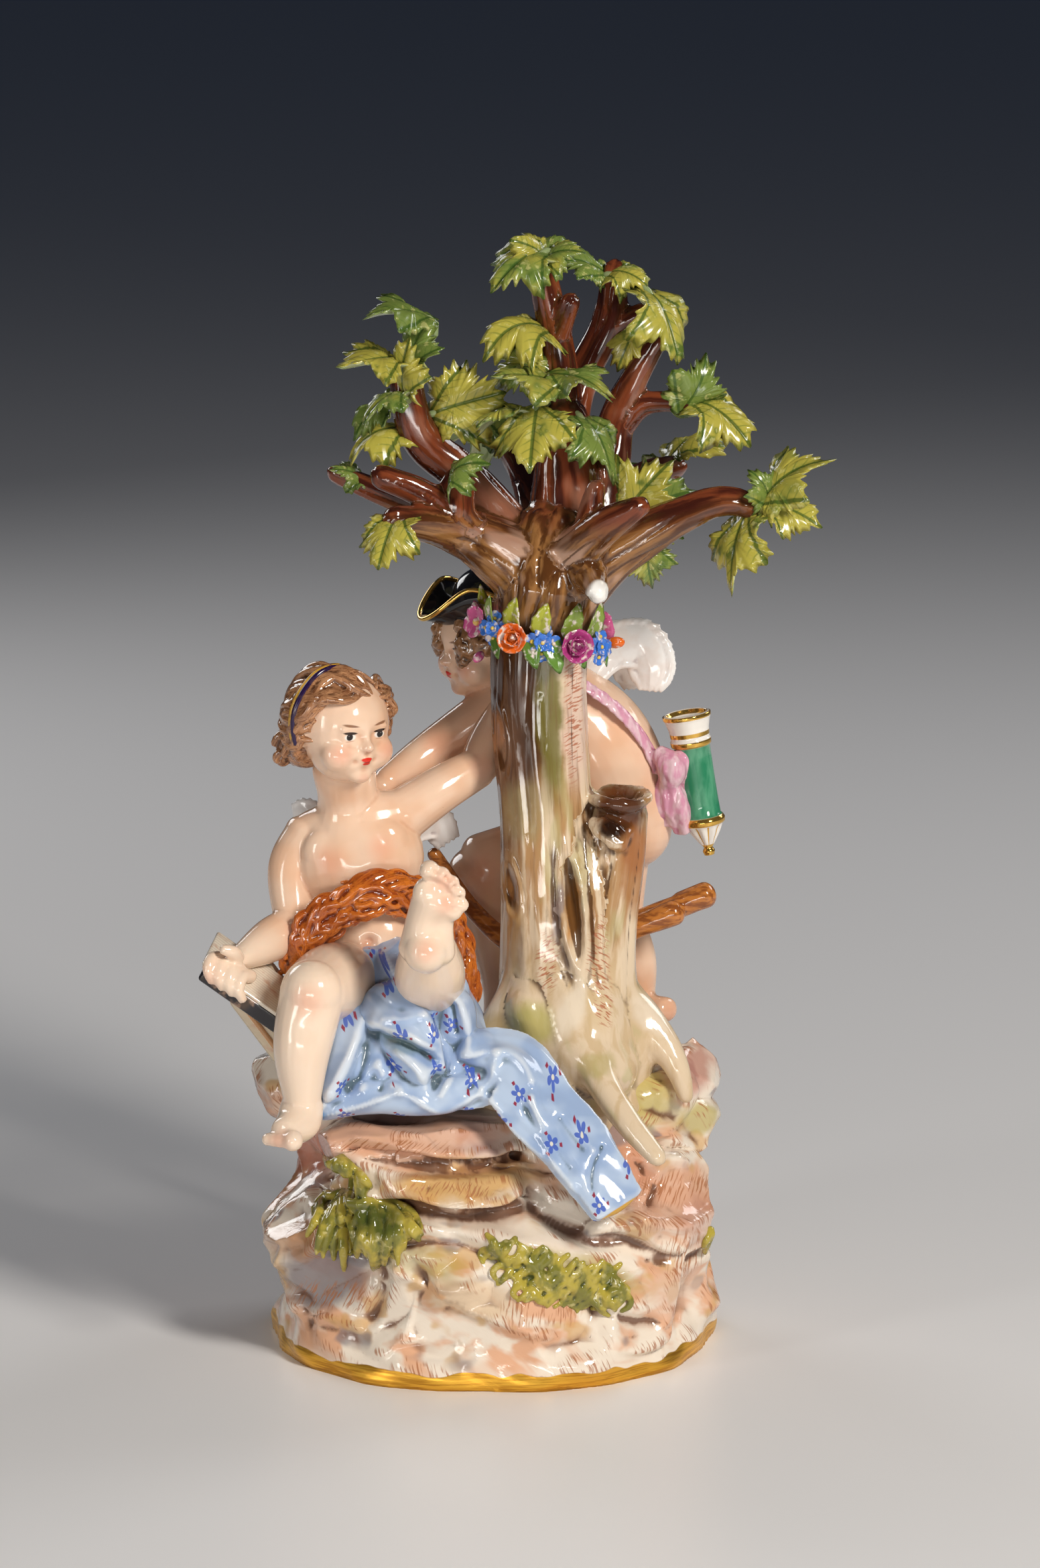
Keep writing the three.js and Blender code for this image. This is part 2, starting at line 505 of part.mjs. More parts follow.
// The seated child: bare and plump, one shin down over the rock, the other foot held out.
function seatedChild() {
  const c = CHILD;
  const shifted = (p, x, y, z) => p.clone().add(at(x, y, z));
  const thigh = { ...skin, steps: 4, up: facingKnee };
  const toeRow = (first, last, count, size) =>
    Array.from({ length: count }, (unused, i) => {
      const root = first.clone().lerp(last, i / (count - 1));
      return blob(root, [size, size, size], { sides: 5, rings: 4 });
    });
  return [
    blob(c.hips, [16, 13, 14], { sides: 16, rings: 10 }),
    blob(c.waist, [14.5, 11.5, 12], { sides: 16, rings: 10, tilt: [0, -6, 0] }),
    blob(c.chest, [17, 10.6, 15], { sides: 16, rings: 10, tilt: [0, -14, 0] }),
    bar([c.rightShoulder, shifted(c.chest, 0, 0.5, 9), c.leftShoulder], [6, 8, 6], { ...skin, steps: 5 }),
    bar([shifted(c.neck, 0, 1, -6), c.neck, c.head], [9.6, 7.8, 7], { ...skin, steps: 4 }),
    // right arm and the hand on the book
    bar([c.rightShoulder, shifted(c.rightElbow, -0.6, 4, 12), c.rightElbow], [6.6, 5.6, 5.4],
      { ...skin, up: at(0.3, -1, 0.5) }),
    bar([c.rightElbow, shifted(c.rightWrist, 6, 8, 2), c.rightWrist], [5.5, 5.2, 3.2], { ...skin, up: UP }),
    blob(c.rightHand, [4.4, 3.8, 3], { tilt: [0, 0, 40] }),
    ...[0, 1, 2].map((i) =>
      bar([shifted(c.rightHand, -2 + i, -2, -i), shifted(c.rightHand, -1 + i * 2, -4, -4 - i)], [1.6, 1.4],
        { sides: 5, steps: 1 }),
    ),
    // left arm, lifted against the trunk
    bar([c.leftShoulder, at(-13.5, -1, 141.5), c.leftElbow], [6.6, 5.8, 5.4],
      { ...skin, up: at(-0.6, -1, 0.3) }),
    bar([c.leftElbow, at(-1, 8, 153), c.leftWrist], [5.4, 4.8, 3.4], { ...skin, steps: 3 }),
    // right leg and foot
    bar([at(-33, -6, 91), at(-39, -24, 97), c.rightKnee], [11.4, 10, 8.8], thigh),
    bar([c.rightKnee, c.rightCalf, c.rightAnkle], [8.8, 7, 4.6], { ...skin, up: facingKnee }),
    bar([shifted(c.rightAnkle, 1.5, 3, -4.5), c.rightToes], [4.8, 3.2],
      { ...skin, steps: 3, up: UP, flat: 1.3 }),
    ...toeRow(shifted(c.rightToes, 2.4, -2.6, -0.6), shifted(c.rightToes, -3.4, 0.4, -1.2), 4, 2.1),
    // left leg, foreshortened, its sole to the front
    bar([at(-25, -8, 92), at(-19, -20, 94), c.leftKnee], [11.6, 10.6, 9.4], thigh),
    bar([c.leftKnee, at(-15.4, -38, 105), c.leftAnkle], [9.2, 8.8, 6], thigh),
    bar([c.leftHeel, shifted(c.leftHeel, 1.6, -1, 6), c.leftBall], [5.2, 4.6, 5],
      { ...skin, steps: 5, flat: 1.2 }),
    ...toeRow(at(-13, -52, 130), at(-8.2, -51.6, 122.6), 5, 2.3),
    ...head(c.head, CHILD_HEAD_RADIUS, c.skullTurn, 4),
    ...hair(shifted(c.head, 0, 0, 0.5), CHILD_HEAD_RADIUS, c.skullTurn, 12, [
      [-0.82, 0.2, -0.3, 0.34], [-0.72, -0.3, -0.6, 0.38], [-0.3, -0.75, -0.7, 0.38],
      [-0.68, -0.7, 0.05, 0.42], [-0.6, 0.62, 0.5, 0.3], [0.05, 0.72, 0.8, 0.3],
    ]),
  ];
}

// Folds that run along a band of cloth.
const folds = (count, depth) => (angle, along) => 1 + depth * Math.sin(count * angle + 6 * along);

// The drape: a pleated skirt over the lap that spreads on the ledge, and a tail down the rock.
function drapery() {
  const levels = 9;
  const top = { centre: at(-28, -12, 107), halfWidth: 14, halfDepth: 9 };
  const hem = { centre: at(-20, -15, 69), halfWidth: 26, halfDepth: 29 };
  const skirt = ringed(40, levels + 2, (ring, spoke) => {
    const down = THREE.MathUtils.clamp((ring - 1) / levels, 0, 1);
    const centre = top.centre.clone().lerp(hem.centre, down);
    if (ring === 0 || ring === levels + 2) return centre;
    const angle = (spoke / 40) * TURN;
    const spread = 0.25 * down + 0.75 * Math.sin((down * Math.PI) / 2);
    const pleat = 1 + 0.11 * down * Math.sin(9 * angle + 5 * down) + 0.05 * Math.sin(4 * angle + 8 * down);
    const halfWidth = THREE.MathUtils.lerp(top.halfWidth, hem.halfWidth, spread) * pleat;
    const halfDepth = THREE.MathUtils.lerp(top.halfDepth, hem.halfDepth, spread) * pleat;
    return centre.add(at(halfWidth * Math.cos(angle), halfDepth * Math.sin(angle), 0));
  });
  const lap = [
    bar([at(-27, -9, 95), at(-20, -20, 96), at(-15.5, -28, 93)], [11.5, 12, 12], { sides: 12, steps: 5 }),
    ...[
      [at(-37, -21, 104), at(-36, -35, 88), at(-39, -42, 70)],
      [at(-28, -26, 103), at(-27, -38, 88), at(-30, -43, 70)],
      [at(-20, -33, 95), at(-20, -42, 84), at(-20, -44, 70)],
      [at(-13, -38, 93), at(-10, -42, 83), at(-9, -44, 71)],
      [at(-7, -32, 93), at(-1, -38, 83), at(4, -40, 74)],
      [at(-6, -24, 96), at(2, -29, 87), at(10, -36, 79)],
    ].map((route) => bar(route, [3, 3.6, 3.4, 4.4], { sides: 8, steps: 5, up: FRONT })),
  ];
  const tail = bar(
    [at(-8, -36, 76), at(4, -38, 79), at(13, -43, 69), at(22, -48, 60), at(31, -53, 48)],
    [3, 3.6, 3.8, 3.7, 3.4],
    { sides: 20, steps: 14, flat: 2.6, up: at(0.3, -1, 0.6), relief: folds(6, 0.22) },
  );
  return [skirt, ...lap, tail];
}

// The shaggy pelt tied round the child's waist.
function pelt() {
  const shag = (angle, along) => 1 + 0.2 * Math.sin(3 * angle + 19 * along);
  const roll = (points, radii) => bar(points, radii, { sides: 10, steps: 14, flat: 1.5, relief: shag });
  return [
    roll(
      [at(-48, -15, 96), at(-46, -17, 106), at(-39, -17.5, 115), at(-29, -18, 119), at(-19, -13, 117)],
      [2.6, 3.2, 3.6, 3.4, 2.8],
    ),
    roll([at(-20, -13, 116), at(-13, -4, 110), at(-8.5, -5, 96), at(-9, -7, 82)], [3, 3.6, 3.4, 3.2]),
  ];
}

// The open book: a board with its leaves, hinged on a second board that lies on the rock.
function book() {
  const board = (long, thick, tilt, centre) => {
    const slab = new THREE.BoxGeometry(long, 18, thick).rotateX(rad(16)).rotateY(rad(tilt));
    return solid(slab.translate(...centre));
  };
  return [board(32, 2.6, 36, [-57.4, -26, 96.6]), board(21, 13, 54, [-54.6, -20, 88])];
}

// A wing: a rounded blade of short feathers along a bent route.
function wing(route, halfWidths, facing) {
  const feathers = (angle, along) => 1 + 0.08 * Math.sin(2 * angle) * Math.sin(24 * along);
  const radii = halfWidths.map((width) => width / 3);
  return bar(route, radii, { sides: 12, steps: 10, flat: 3, up: facing, relief: feathers });
}

function wings() {
  const mirrored = 2 * 32;
  const boyWing = [at(24, 28, 164), at(30, 29, 172), at(38, 30, 174), at(41.4, 29, 168), at(41, 28, 163)];
  const facing = at(-0.2, -1, 0.1);
  return [
    wing([at(-40, 3, 128), at(-46, 7, 134), at(-50, 9, 134)], [3, 3.4, 2], FRONT),
    wing([at(-28, 2, 128), at(-16, 8, 132), at(-11.4, 10, 127)], [4, 5, 3.4], FRONT),
    wing(boyWing, [3.4, 6, 7, 6.4, 3], facing),
    wing(boyWing.map((p) => at(p.x - 4, mirrored - p.y, p.z - 1)), [3.4, 6, 7, 6.4, 3], facing),
  ];
}

// The boy behind the tree: bent forward, one leg straight on the stones, one knee raised.
function leaningBoy() {
  const b = BOY;
  return [
    bar([b.neck, b.shoulders, b.back, b.hips], [8, 12.4, 16.4, 15],
      { sides: 16, steps: 10, up: at(0.6, 0, 0.8), peak: 0.7 }),
    blob(at(36.4, 24, 127), [10.6, 11, 11], { sides: 14, rings: 10 }),
    bar([b.head, b.neck], [7, 7.6], { steps: 1 }),
    // right arm, to the child's shoulder, and left arm round the tree
    bar([at(6, 17, 163), b.rightElbow, at(-20, 10, 146.4), b.rightHand], [7, 5.4, 4.6, 3.6],
      { ...skin, up: at(-0.6, -1, 0.4) }),
    bar([at(13, 37, 162), b.leftElbow, at(4, 43, 147), b.leftHand], [6.8, 5.6, 4.8, 3.6], skin),
    // left leg and foot
    bar([at(31, 27, 121), at(31.5, 25, 112), b.leftKnee], [10, 7.8, 6.4], { ...skin, steps: 3 }),
    bar([b.leftKnee, at(35.2, 24, 92), b.leftAnkle], [6.4, 6.6, 4.4], { ...skin, steps: 3 }),
    bar([at(39, 25, 79.5), at(45, 17, 81)], [4.4, 3.4], { ...skin, steps: 2, up: UP, flat: 1.2 }),
    // right leg
    bar([at(28, 33, 121), at(12, 29, 119), b.rightKnee], [12, 10, 9], { ...skin, steps: 3 }),
    bar([b.rightKnee, at(0, 30, 100), b.rightAnkle, at(2, 30, 72)], [9, 7, 5, 5], { ...skin, steps: 4 }),
    ...head(b.head, BOY_HEAD_RADIUS, -62, 8),
    ...hair(b.head, BOY_HEAD_RADIUS, -62, 10, [
      [-0.1, 0.8, 0.25, 0.34], [0.5, 0.66, 0.1, 0.34], [0.8, 0.3, -0.15, 0.34],
      [0.8, -0.2, -0.4, 0.34], [0.55, -0.55, -0.6, 0.34],
    ]),
  ];
}

// The cocked hat: a round crown and a brim turned up on three sides.
function cockedHat() {
  const seat = at(-2, 22.4, 183);
  const tilt = new THREE.Euler(rad(4), rad(-12), 0);
  const sides = 24;
  const brim = ringed(sides, 4, (ring, spoke) => {
    const angle = (spoke / sides) * TURN;
    const corner = Math.cos(3 * (angle - rad(200)));
    const reach = [0, 13.8 + 2.4 * corner, 14.6 + 2.6 * corner, 9, 0][ring];
    const rise = [1, 6 - 3 * corner, 4.4 - 3 * corner, -1.6, -1.8][ring];
    return at(reach * Math.cos(angle), reach * Math.sin(angle), rise).applyEuler(tilt).add(seat);
  });
  return [blob(at(-1, 22.6, 186.8), [9.4, 9.4, 8.4], { sides: 14, rings: 9 }), brim];
}

// The quiver on its ribbon: a turned tube with a mouth, raised rings and a gadrooned end.
function quiver() {
  const profile = [
    [0, 0], [1.5, 0.4], [1.4, 2], [3, 4.6], [4.8, 7.4], [5.5, 9], [4.9, 10.4], [4.8, 29.4],
    [5.4, 31], [5.9, 34], [6.3, 37], [4.6, 37.4], [4.4, 31.4], [0, 31],
  ];
  const tube = new THREE.LatheGeometry(profile.map(([r, h]) => new THREE.Vector2(r, h)), 14)
    .rotateX(Math.PI / 2)
    .rotateY(rad(-9.5))
    .translate(55.4, 20, 120.6);
  const ribbon = bar(
    [at(23, 13.5, 166), at(31, 14.5, 160), at(38, 17, 151.5), at(42, 18.4, 143)],
    [1.6, 1.8, 1.8, 1.6],
    { sides: 5, steps: 4, flat: 1.7, up: at(0.7, -0.6, 0.5) },
  );
  const knot = bar([at(42, 16.6, 149), at(46, 17.6, 140), at(48.6, 19, 128)], [3.4, 4.6, 3],
    { sides: 7, steps: 4, relief: folds(3, 0.12) });
  return [solid(tube), ribbon, knot];
}

// The wooden bow behind the trunk, its horn standing out at the right.
function bow() {
  const points = [
    at(-15, 13, 122.6), at(-4, 12, 107), at(8, 9, 98.6), at(24, 8, 99.4), at(38, 8, 106), at(54, 7, 112.6),
  ];
  return [
    bar(points, [2, 2.4, 2.8, 3, 3, 2.7], { sides: 9, steps: 14, up: UP, peak: 0.7 }),
    bar([at(26, 5, 100), at(45, 4, 108)], [3.4, 2.6], { sides: 9, steps: 2, up: UP, peak: 0.7 }),
  ];
}

// One mesh from a solid, or a solid from a mesh
function meshOf(body) {
  const { vertProperties, triVerts } = body.getMesh();
  const geometry = new THREE.BufferGeometry();
  geometry.setAttribute("position", new THREE.BufferAttribute(vertProperties, 3));
  geometry.setIndex(new THREE.BufferAttribute(triVerts, 1));
  return geometry;
}

// Where two sheets of a thinned skin meet in one point, each of them steps back a little from it,
// so that no edge is left with more than two faces.
function stepApart(skin) {
  skin.computeVertexNormals();
  const position = skin.getAttribute("position");
  const normal = skin.getAttribute("normal");
  const step = 0.03;
  const copies = new Map();
  for (let i = 0; i < position.count; i++) {
    const key = [position.getX(i), position.getY(i), position.getZ(i)].join(" ");
    copies.set(key, [...(copies.get(key) ?? []), i]);
  }
  const shared = [...copies.values()].filter((places) => places.length > 1).flat();
  for (const i of shared) {
    const p = at(0, 0, 0).fromBufferAttribute(position, i);
    p.addScaledVector(at(0, 0, 0).fromBufferAttribute(normal, i), -step);
    position.setXYZ(i, p.x, p.y, p.z);
  }
  skin.deleteAttribute("normal");
  return skin;
}

// The whole group, fused into one body, then thinned to the wanted count of faces
const modelled = [
  ...rockBase(), ...moss(), ...trunk(), ...boughs(), ...leaves(), ...garland(), ...seatedChild(),
  ...drapery(), ...pelt(), ...book(), ...wings(), ...leaningBoy(), ...cockedHat(), ...quiver(),
  ...bow(),
];
const fused = meshOf(modelled.reduce((whole, next) => whole.add(next)));
const surplus = fused.getAttribute("position").count * (1 - (3 * FACE_COUNT) / fused.index.count);
const thinned = await new SimplifyModifier().modify(fused, surplus);

const glaze = new THREE.MeshStandardMaterial({ color: 0xefe6da, roughness: 0.14, metalness: 0 });
const porcelain = new THREE.Mesh(stepApart(meshOf(solid(thinned))), glaze);
porcelain.name = "porcelain_group";

const group = new THREE.Group();
group.add(porcelain);

export default group;
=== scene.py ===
import math
import random

import bpy
import numpy as np
from mathutils import Euler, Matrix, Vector, noise


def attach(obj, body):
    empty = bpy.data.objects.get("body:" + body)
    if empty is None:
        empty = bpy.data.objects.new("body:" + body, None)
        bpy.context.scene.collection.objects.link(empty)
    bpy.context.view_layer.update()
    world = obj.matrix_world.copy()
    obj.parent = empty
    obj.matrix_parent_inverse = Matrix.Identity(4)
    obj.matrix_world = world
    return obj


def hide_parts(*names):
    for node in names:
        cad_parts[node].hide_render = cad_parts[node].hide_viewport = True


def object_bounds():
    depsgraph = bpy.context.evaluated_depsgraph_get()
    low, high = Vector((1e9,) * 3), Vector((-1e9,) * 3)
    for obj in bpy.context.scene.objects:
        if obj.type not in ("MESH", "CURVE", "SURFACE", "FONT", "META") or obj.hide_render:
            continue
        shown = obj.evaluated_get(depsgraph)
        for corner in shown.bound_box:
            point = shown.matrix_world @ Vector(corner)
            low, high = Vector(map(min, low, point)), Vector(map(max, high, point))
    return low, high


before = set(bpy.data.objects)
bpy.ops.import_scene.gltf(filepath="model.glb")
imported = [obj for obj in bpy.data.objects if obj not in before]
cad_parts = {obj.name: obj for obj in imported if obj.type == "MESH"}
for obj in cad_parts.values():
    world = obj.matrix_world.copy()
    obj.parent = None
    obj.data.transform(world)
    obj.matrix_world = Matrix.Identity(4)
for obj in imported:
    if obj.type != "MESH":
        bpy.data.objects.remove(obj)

cad_low, cad_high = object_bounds()

# The rock base
# A press-moulded mound of boulders and slabs under a clear glaze, washed with pink, brown and
# grey enamel, with a gilt line brushed round its foot. All lengths here are in millimetres.
MM = 0.001


def pick(*pieces):
    """Selects these pieces and nothing else; the first is the active one."""
    bpy.ops.object.select_all(action="DESELECT")
    for piece in pieces:
        piece.select_set(True)
    bpy.context.view_layer.objects.active = pieces[0]


def points_of(piece):
    """The places and the outward directions of a piece's vertices, in millimetres."""
    mesh = piece.data
    place = np.empty(len(mesh.vertices) * 3)
    outward = np.empty(len(mesh.vertices) * 3)
    mesh.vertices.foreach_get("co", place)
    mesh.vertices.foreach_get("normal", outward)
    return place.reshape(-1, 3) / MM, outward.reshape(-1, 3)


def sculpt(piece, shape):
    """Moves a piece's vertices to where shape(place, outward) puts them."""
    place, outward = points_of(piece)
    piece.data.vertices.foreach_set("co", (shape(place, outward) * MM).ravel())
    piece.data.update()


def settle(piece):
    """Leaves the piece's place in its mesh and its object at the origin."""
    pick(piece)
    bpy.ops.object.transform_apply(location=True, rotation=True, scale=True)
    return piece


def join(pieces):
    """Makes one object of these and gives it back."""
    pick(*pieces)
    if len(pieces) > 1:
        bpy.ops.object.join()
    return bpy.context.object


def as_one(name, pieces):
    """Makes one named piece of these, with its place in its mesh."""
    piece = settle(join(pieces))
    piece.name = piece.data.name = name
    return piece


def ball(centre, radii, turn=(0, 0, 0), rings=14):
    """An ellipsoid of clay, turned by degrees about X, Y and Z."""
    if not isinstance(radii, (tuple, list)):
        radii = (radii, radii, radii)
    bpy.ops.mesh.primitive_uv_sphere_add(
        segments=2 * rings, ring_count=rings, radius=MM, location=Vector(centre) * MM,
        rotation=[math.radians(a) for a in turn], scale=radii)
    return bpy.context.object


def stone(centre, radii, seed, turn=(0, 0, 0), faces=15, depth=0.2, detail=5):
    """A boulder: a ball cut back by flat faces that lie in scattered directions."""
    draw = random.Random(seed)
    bpy.ops.mesh.primitive_ico_sphere_add(subdivisions=detail, radius=MM)
    piece = bpy.context.object
    cuts = []
    for i in range(faces):
        lift = -1 + 2 * (i + 0.5) / faces
        angle = 2.4 * i + draw.uniform(-0.4, 0.4)
        across = math.sqrt(1 - lift * lift)
        reach = 1 - depth * draw.uniform(0.2, 1)
        cuts.append((across * math.cos(angle), across * math.sin(angle), lift, reach))

    def cut(place, outward):
        for x, y, z, reach in cuts:
            toward = place @ np.array([x, y, z])
            place = place * np.minimum(1, reach / np.maximum(toward, 0.01))[:, None]
        return place * 1.06

    sculpt(piece, cut)
    piece.scale = radii
    piece.rotation_euler = [math.radians(a) for a in turn]
    piece.location = Vector(centre) * MM
    return piece


def wrapped(columns, rows, skin):
    """A closed skin: a ball whose rows and columns are laid where skin(angle, along) puts them.
    Along runs from 0 at one pole to 1 at the other."""
    bpy.ops.mesh.primitive_uv_sphere_add(segments=columns, ring_count=rows, radius=MM)
    piece = bpy.context.object

    def lay(place, outward):
        angle = np.arctan2(place[:, 1], place[:, 0]) % (2 * math.pi)
        along = 1 - np.arccos(np.clip(place[:, 2], -1, 1)) / math.pi
        return np.stack(skin(angle, np.round(along * rows) / rows), axis=1)

    sculpt(piece, lay)
    return piece


def smooth_route(points, count):
    """A rounded line of count points through the given ones, and its directions."""
    knots = np.array(points, dtype=float)
    ends = np.vstack([2 * knots[0] - knots[1], knots, 2 * knots[-1] - knots[-2]])
    share = np.linspace(0, len(knots) - 1, count)
    i = np.minimum(share.astype(int), len(knots) - 2)
    t = (share - i)[:, None]
    a, b, c, d = ends[i], ends[i + 1], ends[i + 2], ends[i + 3]
    place = 0.5 * (2 * b + (c - a) * t + (2 * a - 5 * b + 4 * c - d) * t ** 2
                   + (3 * b - a - 3 * c + d) * t ** 3)
    ahead = np.gradient(place[:, :3], axis=0)
    return place, ahead / np.linalg.norm(ahead, axis=1)[:, None]


def bar(points, radii, up=(0, 0, 1), flat=1.0, relief=None, peak=0.6, columns=24, rows=30):
    """A round-ended bar of clay along a smooth route; up is its thin way if it is flat."""
    radii = np.interp(np.linspace(0, 1, len(points)), np.linspace(0, 1, len(radii)), radii)
    caps = 5
    route = np.column_stack([np.array(points, dtype=float), radii])
    place, ahead = smooth_route(route, rows + 1 - 2 * caps)
    bow = np.linspace(0, math.pi / 2, caps + 1)[:-1]
    middle = np.vstack([
        place[0, :3] - ahead[0] * place[0, 3] * peak * np.cos(bow)[:, None], place[:, :3],
        place[-1, :3] + ahead[-1] * place[-1, 3] * peak * np.cos(bow[::-1])[:, None]])
    radius = np.concatenate([place[0, 3] * np.sin(bow), place[:, 3], place[-1, 3] * np.sin(bow[::-1])])
    ahead = np.vstack([np.repeat(ahead[:1], caps, 0), ahead, np.repeat(ahead[-1:], caps, 0)])
    side = np.cross(ahead, np.array(up, dtype=float))
    side /= np.linalg.norm(side, axis=1)[:, None]
    over = np.cross(side, ahead)

    def skin(angle, along):
        row = np.round(along * rows).astype(int)
        reach = radius[row] * (relief(angle, along) if relief else 1)
        lay = (middle[row] + side[row] * (reach * flat * np.cos(angle))[:, None]
               + over[row] * (reach * np.sin(angle))[:, None])
        return lay.T

    return wrapped(columns, rows, skin)


def fuse(name, lumps, voxel, rounds=2):
    """Presses lumps of clay into one closed skin and smooths it."""
    piece = as_one(name, lumps)
    piece.data.materials.clear()
    remesh = piece.modifiers.new("Pressed", "REMESH")
    remesh.mode = "VOXEL"
    remesh.voxel_size = voxel * MM
    bpy.ops.object.modifier_apply(modifier=remesh.name)
    if rounds:
        smooth = piece.modifiers.new("Smoothed", "SMOOTH")
        smooth.factor = 0.5
        smooth.iterations = rounds
        bpy.ops.object.modifier_apply(modifier=smooth.name)
    return piece


def thin(piece, faces):
    """Takes out vertices where the skin is nearly flat, down to this many triangles."""
    pick(piece)
    count = sum(len(p.vertices) - 2 for p in piece.data.polygons)
    if count > faces:
        decimate = piece.modifiers.new("Thinned", "DECIMATE")
        decimate.ratio = faces / count
        bpy.ops.object.modifier_apply(modifier=decimate.name)
    return piece


def rough(place, size, seed=0.0, octaves=2):
    """Smooth random values from -1 to 1 over the places, with lumps of this size."""
    return np.array([
        noise.fractal(Vector(p) / size + Vector((seed, seed, seed)), 0.6, 2.0, octaves,
                      noise_basis="PERLIN_ORIGINAL")
        for p in place.tolist()
    ])


# how far a place moves up the picture for each millimetre that it lies further back
VIEW_TILT = 0.19


class Glaze:
    """A painted, glazed surface. Each call adds a node and gives back its output; lengths are in
    millimetres and colours are linear."""

    def __init__(self, name, roughness=0.1, coat=0.0):
        self.material = bpy.data.materials.new(name)
        self.material.use_nodes = True
        self.tree = self.material.node_tree
        self.shader = self.tree.nodes["Principled BSDF"]
        self.shader.inputs["Roughness"].default_value = roughness
        self.shader.inputs["IOR"].default_value = 1.52
        self.shader.inputs["Coat Weight"].default_value = coat
        self.shader.inputs["Coat Roughness"].default_value = 0.04
        self.place = self.node("ShaderNodeTexCoord").outputs["Object"]

    def node(self, kind, **settings):
        made = self.tree.nodes.new(kind)
        for key, value in settings.items():
            setattr(made, key, value)
        return made

    def feed(self, socket, value):
        if isinstance(value, bpy.types.NodeSocket):
            self.tree.links.new(value, socket)
        elif isinstance(value, (tuple, list)) and len(value) == 3 and socket.type == "RGBA":
            socket.default_value = (*value, 1)
        else:
            socket.default_value = value

    def over(self, size=(1, 1, 1), turn=(0, 0, 0), source=None, shift=(0, 0, 0)):
        """Coordinates seen from a turned and shifted frame whose unit is size millimetres. A
        source is already in millimetres, or in whatever unit it was made in."""
        unit = 1 if source else MM
        made = self.node("ShaderNodeMapping", vector_type="TEXTURE")
        self.feed(made.inputs["Vector"], source or self.place)
        made.inputs["Scale"].default_value = [s * unit for s in size]
        made.inputs["Rotation"].default_value = [math.radians(a) for a in turn]
        made.inputs["Location"].default_value = [s * unit for s in shift]
        return made.outputs["Vector"]

    def mottle(self, size=(1, 1, 1), turn=(0, 0, 0), detail=3, source=None, warp=0.0):
        """Cloudy values from 0 to 1 with patches of the given size."""
        made = self.node("ShaderNodeTexNoise")
        self.feed(made.inputs["Vector"], self.over(size, turn, source))
        made.inputs["Scale"].default_value = 1
        made.inputs["Detail"].default_value = detail
        made.inputs["Distortion"].default_value = warp
        return made.outputs["Fac"]

    def step(self, value, low, high):
        """0 below low, 1 above high, smooth between; low may be above high."""
        made = self.node("ShaderNodeMapRange", interpolation_type="SMOOTHSTEP")
        self.feed(made.inputs["Value"], value)
        made.inputs["From Min"].default_value = low
        made.inputs["From Max"].default_value = high
        return made.outputs["Result"]

    def maths(self, operation, a, b=0.0, c=0.0):
        made = self.node("ShaderNodeMath", operation=operation)
        for socket, value in zip(made.inputs, (a, b, c)):
            self.feed(socket, value)
        return made.outputs["Value"]

    def plus(self, a, b):
        return self.maths("ADD", a, b)

    def times(self, a, b):
        return self.maths("MULTIPLY", a, b)

    def flat(self, across, up):
        """Coordinates in a plane, from two values."""
        made = self.node("ShaderNodeCombineXYZ")
        self.feed(made.inputs[0], across)
        self.feed(made.inputs[1], up)
        return made.outputs[0]

    def mix(self, share, under, top):
        made = self.node("ShaderNodeMix", data_type="RGBA")
        self.feed(made.inputs["Factor"], share)
        self.feed(made.inputs[6], under)
        self.feed(made.inputs[7], top)
        return made.outputs[2]

    def brush(self, under, mask, share, top):
        """Lays the top colour over the under one where the mask is, at this share of strength."""
        return self.mix(self.times(mask, share), under, top)

    def axis(self, name, source=None):
        made = self.node("ShaderNodeSeparateXYZ")
        self.feed(made.inputs[0], self.over(source=source))
        return made.outputs[name]

    def near(self, centre, radius, soft=0.5, squash=(1, 1, 1), turn=(0, 0, 0), source=None):
        """1 inside an ellipsoid round a point, falling to 0 at its edge."""
        length = self.node("ShaderNodeVectorMath", operation="LENGTH")
        self.feed(length.inputs[0], self.over([radius * s for s in squash], turn, source, centre))
        return self.step(length.outputs["Value"], 1, 1 - soft)

    def front(self, ragged=3.0, size=7.0):
        """How far a point lies to the right and up in the front view, made ragged by a noise."""
        up = self.plus(self.axis("Z"), self.times(self.axis("Y"), VIEW_TILT))
        cloud = self.node("ShaderNodeTexNoise")
        self.feed(cloud.inputs["Vector"], self.over((size, size, size)))
        cloud.inputs["Scale"].default_value = 1
        cloud.inputs["Detail"].default_value = 4
        shift = self.node("ShaderNodeVectorMath", operation="MULTIPLY_ADD")
        self.feed(shift.inputs[0], cloud.outputs["Color"])
        shift.inputs[1].default_value = (2 * ragged, 2 * ragged, 0)
        shift.inputs[2].default_value = (-ragged, -ragged, 0)
        moved = self.node("ShaderNodeVectorMath", operation="ADD")
        self.feed(moved.inputs[0], self.flat(self.axis("X"), up))
        self.feed(moved.inputs[1], shift.outputs[0])
        return moved.outputs[0]

    def washes(self, tone, view, patches):
        """Lays soft patches of enamel: across, up, half width, half height, turn, colour, share."""
        for across, up, wide, high, turn, colour, share in patches:
            mask = self.near((across, up, 0), 1, 0.55, (wide, high, 1e4), (0, 0, turn), view)
            tone = self.brush(tone, mask, share, colour)
        return tone

    def hatching(self, tone, view, bands, colour, width=0.55, length=4.0):
        """Short parallel brush strokes in bands: across, up, half width, half height, slant."""
        for across, up, wide, high, slant in bands:
            stroke = self.mottle((length, width, 40), (0, 0, slant), detail=1, source=self.front(0.3, 3))
            mask = self.near((across, up, 0), 1, 0.5, (wide, high, 1e4), (0, 0, 0), view)
            share = self.times(self.step(stroke, 0.52, 0.60), mask)
            tone = self.brush(tone, share, 0.85, colour)
        return tone

